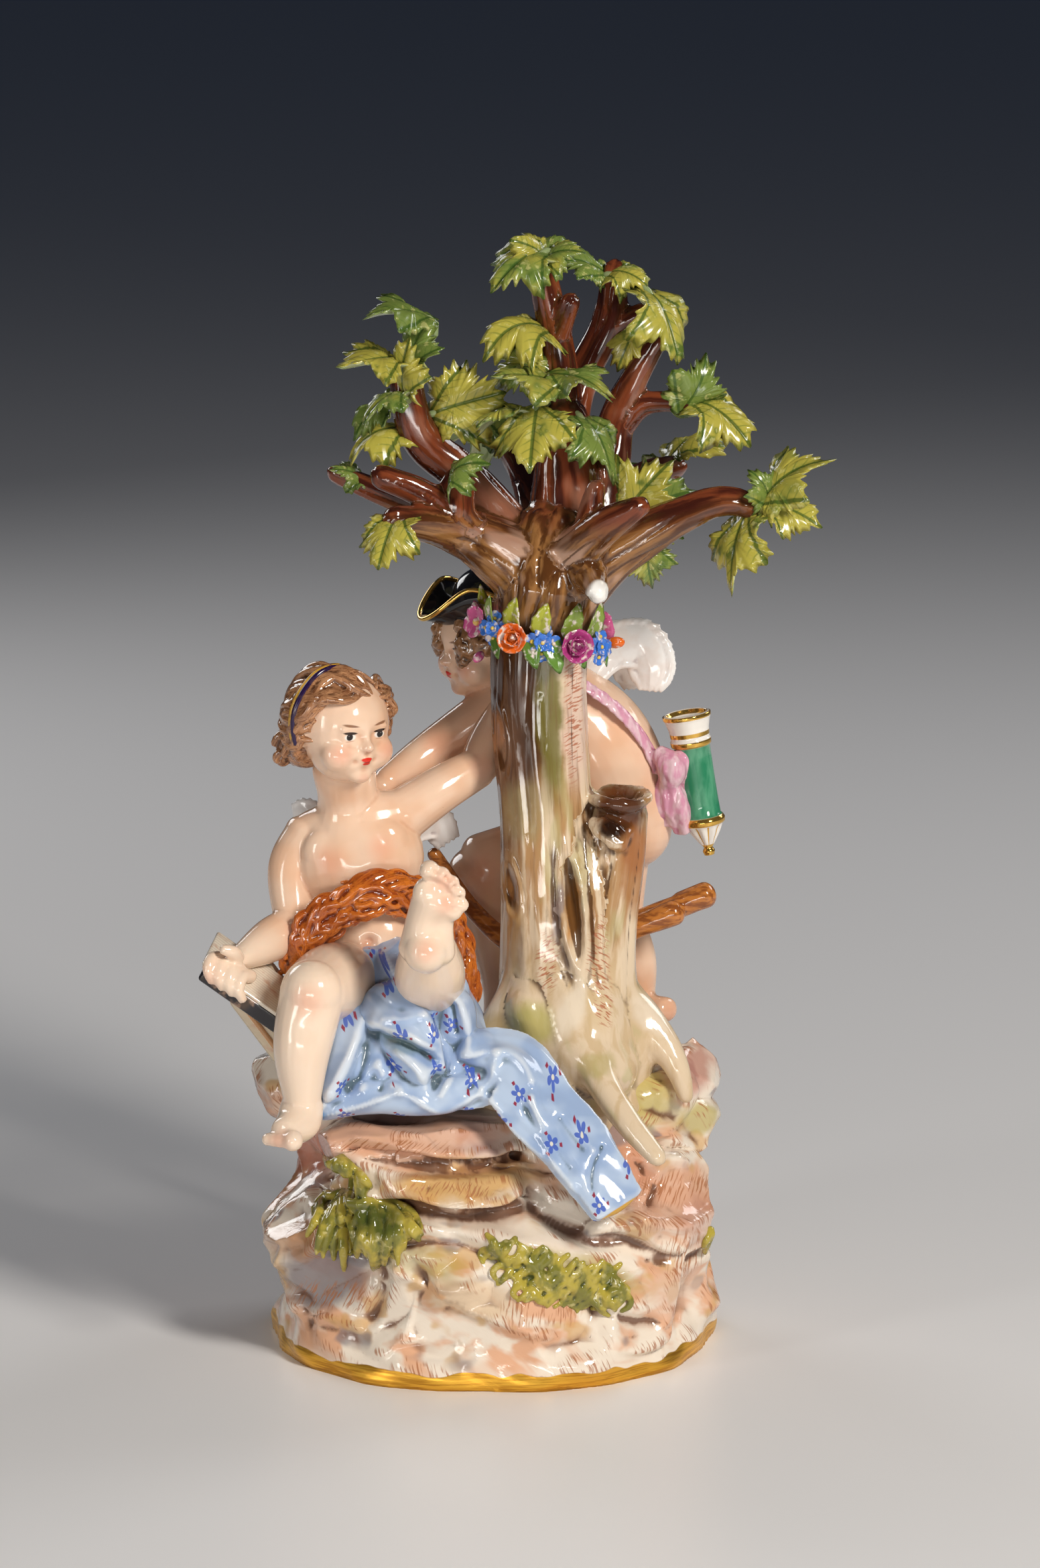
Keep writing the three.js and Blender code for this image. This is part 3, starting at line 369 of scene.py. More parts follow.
    def most(self, masks):
        whole = masks[0]
        for mask in masks[1:]:
            whole = self.maths("MAXIMUM", whole, mask)
        return whole

    def kept(self, name="hollow", output="Fac"):
        """What is kept on the piece's own vertices under this name; hollow is 1 in a hollow."""
        made = self.node("ShaderNodeAttribute", attribute_name=name)
        return made.outputs[output]

    def paint(self, colour):
        self.feed(self.shader.inputs["Base Color"], colour)

    def glow(self):
        """Lets a little light into the body, as thin porcelain does."""
        self.shader.inputs["Subsurface Weight"].default_value = 0.12
        self.shader.inputs["Subsurface Radius"].default_value = (1, 0.6, 0.4)
        self.shader.inputs["Subsurface Scale"].default_value = 0.8 * MM

    def relief(self, height, depth=0.1, strength=0.5):
        made = self.node("ShaderNodeBump")
        made.inputs["Strength"].default_value = strength
        made.inputs["Distance"].default_value = depth * MM
        self.feed(made.inputs["Height"], height)
        self.feed(self.shader.inputs["Normal"], made.outputs["Normal"])


def mark_hollows(piece, rounds=6, depth=0.35, name="hollow"):
    """Stores how deep each vertex lies below its smoothed surroundings, from 0 on a ridge through
    one half on a flat to 1 in a hollow."""
    place, outward = points_of(piece)
    mesh = piece.data
    ends = np.empty(len(mesh.edges) * 2, dtype=np.int64)
    mesh.edges.foreach_get("vertices", ends)
    first, last = ends.reshape(-1, 2).T
    count = np.bincount(ends, minlength=len(place))[:, None]
    level = place.copy()
    for _ in range(rounds):
        total = np.zeros_like(level)
        for axis in range(3):
            total[:, axis] = (np.bincount(first, level[last, axis], len(place))
                              + np.bincount(last, level[first, axis], len(place)))
        level = total / np.maximum(count, 1)
    sunk = np.einsum("ij,ij->i", level - place, outward)
    store(piece, name, np.clip(0.5 + 0.5 * sunk / depth, 0, 1))


def store(piece, name, values):
    """Keeps a number, or three, for each vertex under this name."""
    kind = "FLOAT" if values.ndim == 1 else "FLOAT_VECTOR"
    layer = piece.data.attributes.new(name, kind, "POINT")
    layer.data.foreach_set("value" if values.ndim == 1 else "vector",
                           np.ascontiguousarray(values, dtype=np.float32).ravel())


def hand_over(piece, glaze):
    """Gives the piece its glaze and the body that it rides on. What would stand out past the outer size of
    the group by a hair is drawn in."""
    low, high = np.array(cad_low) / MM + 0.05, np.array(cad_high) / MM - 0.05
    low[2] = 0
    sculpt(piece, lambda place, outward: np.clip(place, low, high))
    piece.data.materials.clear()
    piece.data.materials.append(glaze.material)
    for face in piece.data.polygons:
        face.use_smooth = True
    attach(piece, "root")
    return piece


def creased(place, lines):
    """How far each place rises or sinks for lines seen from the front. A line is its points across
    and up, then its height, negative for a hollow, and its width."""
    across, up = place[:, 0], place[:, 2] + VIEW_TILT * place[:, 1]
    total = np.zeros(len(place))
    for line, height, width in lines:
        route, ahead = smooth_route([(*p, 0) for p in line], 10 * len(line))
        gap = np.full(len(place), 99.0)
        for (x, y, _), fade in zip(route, np.linspace(0, 1, len(route))):
            faded = 1.2 * max(0, abs(fade - 0.5) - 0.42) / 0.08
            gap = np.minimum(gap, np.hypot(across - x, up - y) + faded)
        total += height * np.exp(-(gap / width) ** 2)
    return total


FOOT_WIDTH, FOOT_DEPTH, MOUND_HEIGHT = 57, 54.5, 52


def mound():
    """The body of the base: a round block whose side swells and folds like rock strata."""
    levels = [0, 0.1, 0.2, 0.32, 0.45, 0.57, 0.68, 0.78, 0.88, 0.97]
    reaches = [0.985, 0.99, 0.98, 0.965, 0.985, 1.01, 0.985, 0.9, 0.86, 0.84]

    def skin(angle, along):
        level = np.clip((along - 0.2) / 0.6, 0, 1) * 0.97
        inside = np.minimum(1, np.minimum(along, 1 - along) / 0.2)
        strata = (0.03 * np.sin(5 * angle + 7 * level) + 0.022 * np.sin(9 * angle - 16 * level + 1)
                  + 0.014 * np.sin(17 * angle + 23 * level))
        grow = np.interp(level, levels, reaches) * (1 + strata * np.minimum(1, 0.4 + level * 3))
        return (FOOT_WIDTH * grow * inside * np.cos(angle),
                FOOT_DEPTH * grow * inside * np.sin(angle), level * MOUND_HEIGHT)

    return wrapped(140, 70, skin)


rocks = [
    mound(),
    # the seat and the shelf behind the shin
    stone((-26, 4, 60), (27, 25, 19), 1, detail=4),
    stone((-45, -3, 66), (15.5, 19, 11.5), 2, (0, 6, 0), faces=11),
    # the hump that carries the tree
    stone((15, -8, 58), (27, 25, 17), 3, detail=4),
    # the ledges below the drapery
    stone((-21, -29, 60.5), (29, 18.5, 6.2), 4, (2, 3, 0), faces=9, depth=0.12),
    stone((-11, -32, 50), (29, 20, 7.4), 5, (0, 8, 0), faces=9, depth=0.16),
    stone((-14, -33, 37), (32, 20, 9), 13, (10, 16, 0), faces=8, depth=0.22),
    # the outcrops at the front
    stone((33, -21.5, 38), (24, 26, 18.5), 6, (0, -10, 14), faces=9, depth=0.32),
    stone((-37, -20, 28), (23, 24.5, 17), 7, (0, 12, -14), faces=8, depth=0.34),
    stone((12, -35, 29), (29, 18.5, 12.5), 14, (16, 26, 0), faces=8, depth=0.24),
    stone((28, -33, 20), (20, 18, 15), 31, (0, 14, 0), faces=8, depth=0.3),
    stone((-18, -36, 18), (22, 17, 14), 32, (0, -8, 0), faces=8, depth=0.3),
    # the loose stones at the right
    stone((39, -12, 66), (11.8, 11, 11), 8, faces=10, depth=0.08),
    stone((46.4, 5, 69), (10.8, 14, 12), 9, (0, 20, 0), faces=10, depth=0.12),
    stone((45, 0, 56), (12, 15, 8.4), 10, faces=10, depth=0.10),
    # the rise at the back and the solid middle
    stone((24, 31, 60), (25, 19, 19), 11, faces=9, depth=0.26),
    stone((-14, 34, 52), (29, 18, 17), 12, faces=9, depth=0.26),
    stone((0, 5, 46), (30, 28, 26), 15, detail=4),
]
rock_base = fuse("rock_base", rocks, 0.75, rounds=2)
# clefts under the slabs and ridges along their edges
CLEFTS = [
    # under the two ledges, with the lip of each
    ([(-35, 51.4), (-22.6, 49), (-10.9, 46.8), (0.9, 46.8), (6.3, 49)], -4.6, 2.0),
    ([(-35.4, 54.6), (-22.6, 51.9), (-10.9, 49.9), (2.2, 49.9), (6.6, 52.4)], 1.8, 1.5),
    ([(-30, 36.4), (-20, 36.4), (-9.6, 34.2), (3.5, 35), (8.4, 38)], -4.4, 2.2),
    ([(-30.4, 39.4), (-20, 39.5), (-9.6, 37.4), (3.5, 38.2), (7.4, 41)], 1.8, 1.5),
    # the recess at the left and the boulder below it
    ([(-47.4, 47.4), (-40.9, 42.1), (-36.3, 36.8), (-37.6, 31.5)], -4.4, 2.8),
    ([(-50, 42.6), (-43.4, 32.4), (-46.1, 24), (-57.4, 20.6)], 2.4, 1.7),
    ([(-43.6, 24.6), (-38, 27.4), (-28.6, 27.4)], 1.8, 1.4),
    ([(-27, 26), (-27.6, 15), (-31, 6)], -2.8, 1.8),
    ([(-58, 15), (-51.3, 13.6), (-45.5, 10)], -2.8, 2.2),
    ([(-56, 9), (-44, 8), (-31, 5), (-18, 3)], 1.6, 1.8),
    # the white slope and the slab below it
    ([(-24, 25.6), (-11, 28.4), (1, 24.4), (11.3, 16.4)], -2.8, 1.9),
    ([(-27, 22), (-12, 14.6), (6, 7), (16, 4)], 2.0, 1.7),
    ([(-25, 31), (-8, 31), (12, 27), (28, 22)], 1.6, 1.8), ([(18, 14), (30, 8), (42, 6)], -2.2, 2),
    # the outcrop at the right
    ([(9, 41), (11.6, 34.4), (23, 28.2), (33.5, 26.6), (44, 21.6), (54, 23.4), (58, 31)], -3.6, 2.2),
    ([(24.4, 31), (34.8, 35), (42.6, 46.4), (50, 47.6)], 2.4, 1.8),
    ([(34.8, 35), (45.2, 30.6), (57, 34.6)], 1.9, 1.6),
    ([(35.6, 48), (40.4, 41), (39.6, 36)], -2.6, 1.5), ([(14, 48), (24, 45), (32, 40)], 1.6, 1.6),
]


def struck(place, outward):
    """Strikes flat faces off the rock with a chisel, then cuts its clefts, but leaves its foot true."""
    draw = random.Random(43)
    start = place + outward * 0.7
    place = start.copy()
    for strike in range(150):
        k = draw.randrange(len(place))
        near = np.linalg.norm(start - start[k], axis=1)
        way = outward[near < 10].mean(axis=0) + [draw.uniform(-0.22, 0.22) for axis in range(3)]
        way /= np.linalg.norm(way)
        over = (place - start[k]) @ way + draw.uniform(0.8, 2.6)
        place -= way * (np.clip(over, 0, 3.8) * np.clip((25 - near) / 6, 0, 1))[:, None]
    facing = np.clip(0.3 - 2.2 * outward[:, 1], 0, 1) * np.clip((-12 - place[:, 1]) / 6, 0, 1)
    place += (outward * 0.45 + [0, -0.5, 0]) * (creased(place, CLEFTS) * facing)[:, None]
    place += outward * (0.12 * rough(place, 4, 9, 2))[:, None]
    free = np.clip((start[:, 2] - 3) / 8, 0, 1)[:, None]
    place = start + (place - start) * free - outward * 0.7 * (1 - free)
    place[:, 2] = np.where(place[:, 2] < 0.5, 0, place[:, 2])
    return place


sculpt(rock_base, struck)
mark_hollows(rock_base, rounds=8, depth=0.5)
mark_hollows(rock_base, rounds=30, depth=0.9, name="arris")
thin(rock_base, 98000)

rock = Glaze("Rock glaze", roughness=0.12)
WHITE, PINKISH, ROSE = (0.84, 0.74, 0.62), (0.70, 0.40, 0.27), (0.50, 0.20, 0.14)
TAN, OLIVE, GREY, UMBER = (0.62, 0.36, 0.12), (0.42, 0.34, 0.05), (0.22, 0.19, 0.21), (0.20, 0.055, 0.015)
washed = rock.mottle((17, 17, 9), turn=(0, 20, 0), detail=3, warp=0.5)
tone = rock.mix(rock.step(washed, 0.46, 0.60), WHITE, (0.74, 0.42, 0.26))
tone = rock.brush(tone, rock.step(rock.mottle((12, 12, 9), detail=2), 0.57, 0.66), 0.7, TAN)
tone = rock.brush(tone, rock.step(rock.mottle((19, 12, 9), (40, 0, 0), 2), 0.60, 0.68), 0.7, GREY)
view = rock.front(3.4, 8)
tone = rock.washes(tone, view, [
    # the two ledges, the dark rock left of them, and the outcrop at the right; the thin umber strip just
    # under the upper ledge is painted shadow
    (-22, 55, 30, 8.6, 4, PINKISH, 0.85), (-2, 53, 10, 7, 0, ROSE, 0.45), (-8, 42.6, 25, 7, 5, TAN, 0.9),
    (-8, 45.6, 22, 2.4, 6, UMBER, 0.5), (-46, 49, 10, 9, -20, ROSE, 0.85), (-52, 44, 7, 6, 0, UMBER, 0.55),
    (44, 38, 16, 11, -12, PINKISH, 0.85), (33, 45, 13, 8, 30, (0.66, 0.31, 0.19), 0.75),
    (52, 31, 8, 9, 0, ROSE, 0.4),
    # the grey facet and the brown block at the left
    (-42, 18, 15, 12, 20, GREY, 0.85), (-50, 27, 11, 6, 10, (0.45, 0.24, 0.12), 0.75),
    (-55, 17, 5, 10, 0, TAN, 0.6),
    # the white slope and the green at its edges
    (8, 28, 26, 7, -22, WHITE, 0.9), (-18, 24, 16, 6, -18, OLIVE, 0.45), (22, 20, 22, 6, -18, OLIVE, 0.6),
    (-6, 14, 18, 7, -8, TAN, 0.45), (46, 14, 10, 9, 30, (0.72, 0.50, 0.38), 0.6),
    # the loose stones
    (38, 63, 11, 10, 0, (0.58, 0.48, 0.17), 0.9), (34, 69, 7, 5, 30, WHITE, 0.5),
    (50, 70, 8, 9, 0, ROSE, 0.75),
    (46, 78, 7, 5, -30, WHITE, 0.8), (52, 57, 9, 6, 0, OLIVE, 0.7), (-60, 62, 6, 9, 0, UMBER, 0.5),
])
low_white = rock.step(rock.plus(rock.axis("Z"), rock.times(washed, 14)), 16, 10)
tone = rock.brush(tone, low_white, 0.85, WHITE)
tone = rock.hatching(tone, view, [
    (-38, 13, 16, 5, 62), (12, 11, 13, 5, 85), (45, 40, 14, 5, 70), (-10, 41, 16, 2.2, 60),
    (-26, 52, 20, 2.2, 40), (48, 24, 8, 8, 80), (36, 58, 8, 3, 60)], (0.44, 0.18, 0.08), 0.5, 5)
# short strokes that run down the side of the base, all round it
round_it = rock.maths("ARCTAN2", rock.axis("X"), rock.times(rock.axis("Y"), -1))
side_on = rock.flat(rock.times(round_it, 50), rock.axis("Z"))
strokes = rock.mottle((0.55, 5.5, 40), (0, 0, 22), detail=2, source=side_on, warp=0.2)
strokes = rock.step(strokes, 0.50, 0.60)
brushed_edge = rock.times(rock.step(rock.kept("arris"), 0.44, 0.24), strokes)
brushed_edge = rock.times(brushed_edge, rock.step(rock.mottle((9, 9, 9), detail=1), 0.44, 0.52))
tone = rock.brush(tone, brushed_edge, 0.8, (0.40, 0.15, 0.06))
# painted shade: brown in the broad hollows and near black deep in the clefts and crevices
tone = rock.brush(tone, rock.step(rock.kept("arris"), 0.60, 1.0), 0.6, (0.38, 0.20, 0.12))
tone = rock.brush(tone, rock.step(rock.kept(), 0.66, 0.98), 0.8, (0.13, 0.05, 0.025))
gilt_edge = rock.plus(rock.axis("Z"), rock.times(rock.mottle((9, 9, 30), detail=1), -4.4))
gilt = rock.step(gilt_edge, 2.2, 1.9)
brushed = rock.mottle((9, 9, 0.5), detail=3)
tone = rock.mix(gilt, tone, rock.mix(rock.step(brushed, 0.4, 0.65), (0.80, 0.44, 0.05), (0.52, 0.24, 0.02)))
rock.paint(tone)
rock.feed(rock.shader.inputs["Metallic"], rock.times(gilt, 0.75))
rock.feed(rock.shader.inputs["Roughness"], rock.maths("MULTIPLY_ADD", gilt, 0.26, 0.1))
rock.relief(rock.mottle((9, 0.6, 0.6), (0, 30, 0), detail=2), depth=0.2, strength=0.15)
hand_over(rock_base, rock)
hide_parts("porcelain_group")

# The tree
# A hand-built trunk with a sawn stump, roots that grip the rock and lopped boughs. The bark is
# combed into the clay along each bough, then streaked with brown and green enamel.
TRUNK_ROUTES = [
    # each point is x, y, z and the radius there
    [(17, -8, 64, 23), (17, -8, 80, 17), (15.4, -7, 98, 13.8), (14.2, -6, 116, 12.4),
     (13.4, -5, 136, 12), (12, -4, 160, 12.2), (12.2, -4, 180, 12.2), (14.6, -4, 194, 14.4),
     (15.8, -3, 206, 11)],
    [(23, -9, 76, 13), (22, -9, 96, 12.4), (22.4, -8, 118, 11), (20, -6, 138, 5)],
    [(26, -10, 74, 13), (26.5, -10, 92, 10), (28.6, -9, 112, 8.4), (31.2, -8, 128, 7.9),
     (32, -8, 137.5, 7.4)],
    # the roots
    [(8, -11, 93, 6), (2, -13.4, 84, 5.4), (-4, -15, 77, 3)],
    [(9, -18, 90, 6), (12, -21.6, 81, 4.6), (13.6, -25, 72, 3)],
    [(18.6, -16, 92, 7.6), (21.6, -21.4, 83.4, 6), (27, -30, 74, 4.4), (34, -39, 65, 3.5),
     (41, -45.6, 58, 2.4)],
    [(31, -9, 91, 6.6), (40.4, -13, 82.4, 5), (46, -16.6, 74.6, 3.8), (48.6, -18.4, 67, 2.4)],
    [(16, 6, 90, 7), (14, 18, 78, 5), (4, 26, 70, 3)],
]
BOUGH_ROUTES = [
    [(12, -4, 196, 10), (2, -6, 203, 8), (-7, -7, 208, 6), (-15, -14, 211, 4.4), (-24, -20, 213, 3.6)],
    [(-4, -6, 206, 5.6), (-8.4, -10, 213, 4.6), (-8.4, -10.5, 221, 4)],
    [(-5, -8, 208, 5), (-16, -12, 218, 4), (-27, -14, 223, 3.4)],
    [(-5, -4, 208, 4.8), (-22, -1, 215, 3.6), (-39, 3, 221.6, 2.6)],
    [(10, 0, 198, 8), (-7, 3, 220.5, 5.4), (-18, 1, 231, 4.8), (-21.5, 0, 246, 3.9)],
    [(17, 1, 194, 13), (18.4, 0, 214, 8.8), (18, 0, 236, 6)],
    [(18, 1, 226, 5.4), (17, 2, 250, 4.2), (12.4, 0, 273, 3.6)],
    [(16, 2, 254, 3), (19.6, -4, 265, 2.6)],
    [(18, 4, 226, 5.4), (22, 12, 243, 4.6), (29.6, 12, 260, 4.2), (30.3, 12, 271, 3.2)],
    [(28.6, 13, 255, 3.4), (38, 10, 261, 2.6)],
    [(21, 2, 201, 8.6), (28.4, 5, 218, 5.2), (31, 8, 234, 4.4), (36, 8, 245, 3.4), (42, 6, 255, 2.2)],
    [(31, 8, 232, 3.8), (38, 8, 238, 3), (51, 8, 237.6, 2.5)],
    [(18, -3, 194, 10.6), (31, -6, 203.5, 6.8), (48, -9, 213, 4.5), (58, -9, 216, 3.8),
     (67, -8, 213.6, 3.1)],
    [(19, -9, 202, 6.4), (29, -22, 212.5, 4.4), (36, -28, 217.5, 3)],
    [(23, -13, 206, 4.2), (25.6, -19, 221, 2.4)],
    [(21, -8, 200, 5.6), (24.6, -18, 198.4, 4.2), (26.4, -24, 195.8, 3.2)],
    [(16, 4, 198, 9), (10, 24, 215, 5), (4, 36, 224, 3.1)],
    [(19, 4, 200, 8.4), (38, 25, 217, 4.4), (47, 33, 219, 3.1)],
]


def bars(routes, section=None, fineness=8, rounded=True):
    """Bars of clay along smooth routes, a radius at each point, as one mesh."""
    bpy.ops.curve.primitive_bezier_curve_add(radius=MM)
    rod = bpy.context.object
    curve = rod.data
    curve.splines.clear()
    curve.dimensions = "3D"
    curve.resolution_u = fineness
    curve.use_fill_caps = True
    curve.twist_mode = "MINIMUM"
    if section:
        curve.bevel_mode = "OBJECT"
        curve.bevel_object = section
    else:
        curve.bevel_depth = MM
        curve.bevel_resolution = 4
    for route in routes:
        points = [(Vector(p[:3]), p[3]) for p in route]
        if rounded:
            for end, inner, where in ((0, 1, 0), (-1, -2, len(points) + 2)):
                outward = (points[end][0] - points[inner][0]).normalized()
                tip, radius = points[end]
                caps = [(tip + outward * radius * 0.55, radius * 0.8),
                        (tip + outward * radius * 0.95, radius * 0.2)]
                points = caps[::-1] + points if where == 0 else points + caps
        spline = curve.splines.new("BEZIER")
        spline.bezier_points.add(len(points) - 1)
        for knot, (place, radius) in zip(spline.bezier_points, points):
            knot.co = place * MM
            knot.radius = radius
            knot.handle_left_type = knot.handle_right_type = "AUTO"
    pick(rod)
    bpy.ops.object.convert(target="MESH")
    return bpy.context.object


def fluted(flutes, depth):
    """A closed outline of one millimetre radius with combed grooves."""
    bpy.ops.curve.primitive_bezier_circle_add(radius=MM)
    outline = bpy.context.object
    outline.data.splines.clear()
    spline = outline.data.splines.new("POLY")
    count = 8 * flutes
    spline.points.add(count - 1)
    for i, knot in enumerate(spline.points):
        angle = 2 * math.pi * i / count
        reach = MM * (1 + depth * (abs(math.cos(flutes * angle / 2)) ** 0.7 - 0.6)
                      + 0.4 * depth * math.sin(3 * angle))
        knot.co = (reach * math.cos(angle), reach * math.sin(angle), 0, 1)
    spline.use_cyclic_u = True
    return outline


def grain_of(place, routes, samples=14):
    """For each place: how far along its nearest route it lies, and where round it."""
    mid, along, across, over, start = [], [], [], [], 0
    for route in routes:
        knots = np.array([p[:3] for p in route], dtype=float)
        spans = np.linalg.norm(np.diff(knots, axis=0), axis=1)
        run = np.concatenate([[0], np.cumsum(spans)])
        steps = np.linspace(0, run[-1], samples)
        centre = np.stack([np.interp(steps, run, knots[:, k]) for k in range(3)], axis=1)
        tangent = np.gradient(centre, axis=0)
        tangent /= np.linalg.norm(tangent, axis=1)[:, None]
        side = np.cross(tangent, [0.1, 1, 0.13])
        side /= np.linalg.norm(side, axis=1)[:, None]
        radius = np.interp(steps, run, [p[3] for p in route])
        mid.append(np.concatenate([centre, radius[:, None]], axis=1))
        along.append(steps + start)
        across.append(side)
        over.append(np.cross(tangent, side))
        start += run[-1] + 37
    mid, along = np.concatenate(mid), np.concatenate(along)
    across, over = np.concatenate(across), np.concatenate(over)
    out = np.empty((len(place), 3))
    for low in range(0, len(place), 20000):
        part = place[low:low + 20000]
        gap = np.linalg.norm(part[:, None] - mid[None, :, :3], axis=2) - 0.8 * mid[None, :, 3]
        best = gap.argmin(axis=1)
        offset = part - mid[best, :3]
        u = np.einsum("ij,ij->i", offset, across[best])
        v = np.einsum("ij,ij->i", offset, over[best])
        tangent = np.cross(across[best], over[best])
        w = along[best] + np.einsum("ij,ij->i", offset, tangent)
        out[low:low + 20000] = np.stack([u, v, w], axis=1)
    return out


combed = fluted(5, 0.05)
wood = [
    bars(TRUNK_ROUTES),
    bars(BOUGH_ROUTES, combed),
    ball((15.5, -3, 201), (14, 12, 10)),
    ball((17, -6, 84), (18, 13, 16)), ball((18.6, -8, 106), (16.6, 12.2, 25)),
]
pick(combed)
bpy.ops.object.delete()
# the rim of the stump and the twisted knot under it
RIM = [
    [(25.2, -9, 141, 1.2), (27, -14, 141.4, 1.6), (32, -15.6, 140.6, 1.7), (37, -13.4, 140.6, 1.5),
     (39, -8.6, 141.6, 1.3), (37.4, -3.4, 142, 1.2), (32, -1.2, 142, 1.2), (27, -3.4, 141.6, 1.2),
     (25.2, -9, 141, 1.2)],
    [(25.6, -14.6, 136, 1.6), (28, -17.4, 133, 1.8), (31.6, -17, 131, 1.8), (34, -16, 133.4, 1.4)],
    [(27.6, -16, 137, 1.2), (31, -17, 134.6, 1.4), (33, -16, 130, 1.0)],
]
wood.append(bars(RIM, fineness=6))
wood += [ball((10, -14, 77), (10.4, 9, 15)), ball((22, -17, 80), (13, 10, 19)),
         ball((32.6, -11, 79), (9.4, 9, 15)),
         ball((24, -21, 76), (13, 9, 9), (0, 20, 0))]
tree = fuse("tree", wood, 0.7, rounds=4)
# the foot of the trunk is wiped smooth with a wet brush
wiped = tree.vertex_groups.new(name="foot")
for knot in tree.data.vertices:
    share = 1 - abs(knot.co.z / MM - 88) / 25
    if share > 0:
        wiped.add([knot.index], min(1, 2 * share), "REPLACE")
brush = tree.modifiers.new("Wiped", "SMOOTH")
brush.factor, brush.iterations, brush.vertex_group = 0.7, 45, "foot"
bpy.ops.object.modifier_apply(modifier=brush.name)
# knots: x and z of the middle, half width, half height, depth
KNOTS = [(20.2, 115, 2.0, 10, 2.4), (4.6, 119, 1.6, 5, 1.8), (1.6, 157, 1.5, 6, 1.5)]
tree_grain = grain_of(points_of(tree)[0], TRUNK_ROUTES + BOUGH_ROUTES)


def combed_bark(place, outward):
    """Broad soft ridges that follow each bough, and a few narrow cracks between them."""
    ridges = rough(tree_grain * (1, 1, 0.11), 5, 5, 2)
    crack = np.clip(1 - np.abs(rough(tree_grain * (1, 1, 0.055), 6.5, 11, 1)) / 0.09, 0, 1)
    fine = rough(tree_grain * (1, 1, 0.12), 1.5, 21, 1)
    level = place[:, 2]
    deep = np.interp(level, [84, 106, 186, 196], [0.03, 0.30, 0.34, 0.5])
    swell = np.interp(level, [84, 104], [0.15, 0.6])
    place = place + outward * (swell * ridges - deep * crack + 0.06 * fine)[:, None]
    inward = np.clip(-outward[:, 1] * 3, 0, 1)
    for x, z, wide, high, depth in KNOTS:
        gap = np.hypot((place[:, 0] - x + 0.12 * (level - z)) / wide, (level - z) / high)
        dent = np.exp(-gap ** 4) - 0.55 * np.exp(-((gap - 1.45) / 0.35) ** 2)
        place[:, 1] += depth * dent * inward * (place[:, 1] < -5)
    well = np.exp(-(np.hypot(place[:, 0] - 32, place[:, 1] + 8.4) / 4.8) ** 6)
    well *= (level > 138) & (level < 150)
    place[:, 2] -= 3.2 * well
    return place


sculpt(tree, combed_bark)
mark_hollows(tree, rounds=5, depth=0.3)
store(tree, "grain", tree_grain)
thin(tree, 112000)

bark = Glaze("Bark glaze", roughness=0.10)
grain = bark.kept("grain", "Vector")
streaks = bark.mottle((2.6, 2.6, 30), detail=4, source=grain, warp=0.4)
low_streaks = bark.mottle((4, 4, 14), detail=4, warp=0.6)
rising = bark.step(bark.axis("Z"), 96, 112)
streaks = bark.maths("MULTIPLY_ADD", bark.maths("SUBTRACT", streaks, low_streaks), rising, low_streaks)
fine = bark.mottle((0.9, 0.9, 14), detail=3, source=grain, warp=0.3)
patches = bark.mottle((8, 8, 20), detail=2, source=grain)
height = bark.axis("Z")
CREAM, DARK = (0.72, 0.57, 0.40), (0.08, 0.03, 0.008)
lower = bark.mix(bark.step(streaks, 0.44, 0.62), CREAM,
                 bark.mix(rising, (0.62, 0.46, 0.28), (0.44, 0.25, 0.11)))
lower = bark.brush(lower, bark.step(patches, 0.54, 0.66), 0.5, (0.46, 0.42, 0.20))
view = bark.front(2.0, 6)
lower = bark.washes(lower, view, [
    # the near-black washes down the trunk's left side are partly its brown enamel and partly painted shade
    (6, 164, 13, 36, 0, (0.05, 0.015, 0.003), 0.98), (3, 140, 7, 26, 0, (0.12, 0.045, 0.012), 0.9),
    (20, 184, 9, 12, 0, (0.16, 0.06, 0.016), 0.85), (4, 108, 6, 20, 0, (0.30, 0.17, 0.06), 0.6),
    # painted shade: the dark band at the garland's height darkens the trunk behind the flowers
    (14.6, 160, 4.2, 30, 2, (0.14, 0.12, 0.015), 0.85), (10, 178, 14, 6, 0, DARK, 0.8),
    # the pale stripe at the trunk's right is partly its pale ground and partly painted light
    (21, 160, 4.4, 24, 0, (0.72, 0.52, 0.42), 0.8),
    (8, 136, 8, 10, 0, (0.36, 0.28, 0.13), 0.6), (6, 118, 4, 12, 0, (0.34, 0.20, 0.09), 0.6),
    (10, 82, 8, 8, 0, (0.42, 0.38, 0.11), 0.75), (1, 80, 6, 6, 0, (0.48, 0.32, 0.12), 0.7),
    (26, 86, 5, 8, 0, (0.60, 0.44, 0.24), 0.5), (35, 120, 4, 14, 0, (0.36, 0.15, 0.04), 0.8),
    (10, 74, 6, 5, 0, (0.34, 0.20, 0.06), 0.6), (26, 72, 6, 4, 0, (0.44, 0.36, 0.14), 0.6),
    (40, 84, 5, 8, 40, (0.78, 0.66, 0.52), 0.7), (20, 86, 4, 10, -20, (0.80, 0.70, 0.56), 0.6),
])
lower = bark.brush(lower, bark.step(fine, 0.56, 0.70), bark.times(rising, 0.35),
                   (0.16, 0.07, 0.03))
lower = bark.hatching(lower, view, [
    (20.4, 162, 2.6, 24, 28), (14, 98, 3.4, 10, 30), (26.6, 100, 3.4, 12, -30), (28, 88, 3, 9, -35)],
                      (0.42, 0.13, 0.06), 0.5, 2.4)
crown = bark.mix(bark.step(streaks, 0.38, 0.62), (0.19, 0.045, 0.016), (0.05, 0.011, 0.006))
crown = bark.brush(crown, bark.step(patches, 0.56, 0.68), 0.7, (0.30, 0.13, 0.08))
fork = bark.mix(bark.step(streaks, 0.38, 0.58), (0.30, 0.14, 0.045), (0.10, 0.036, 0.010))
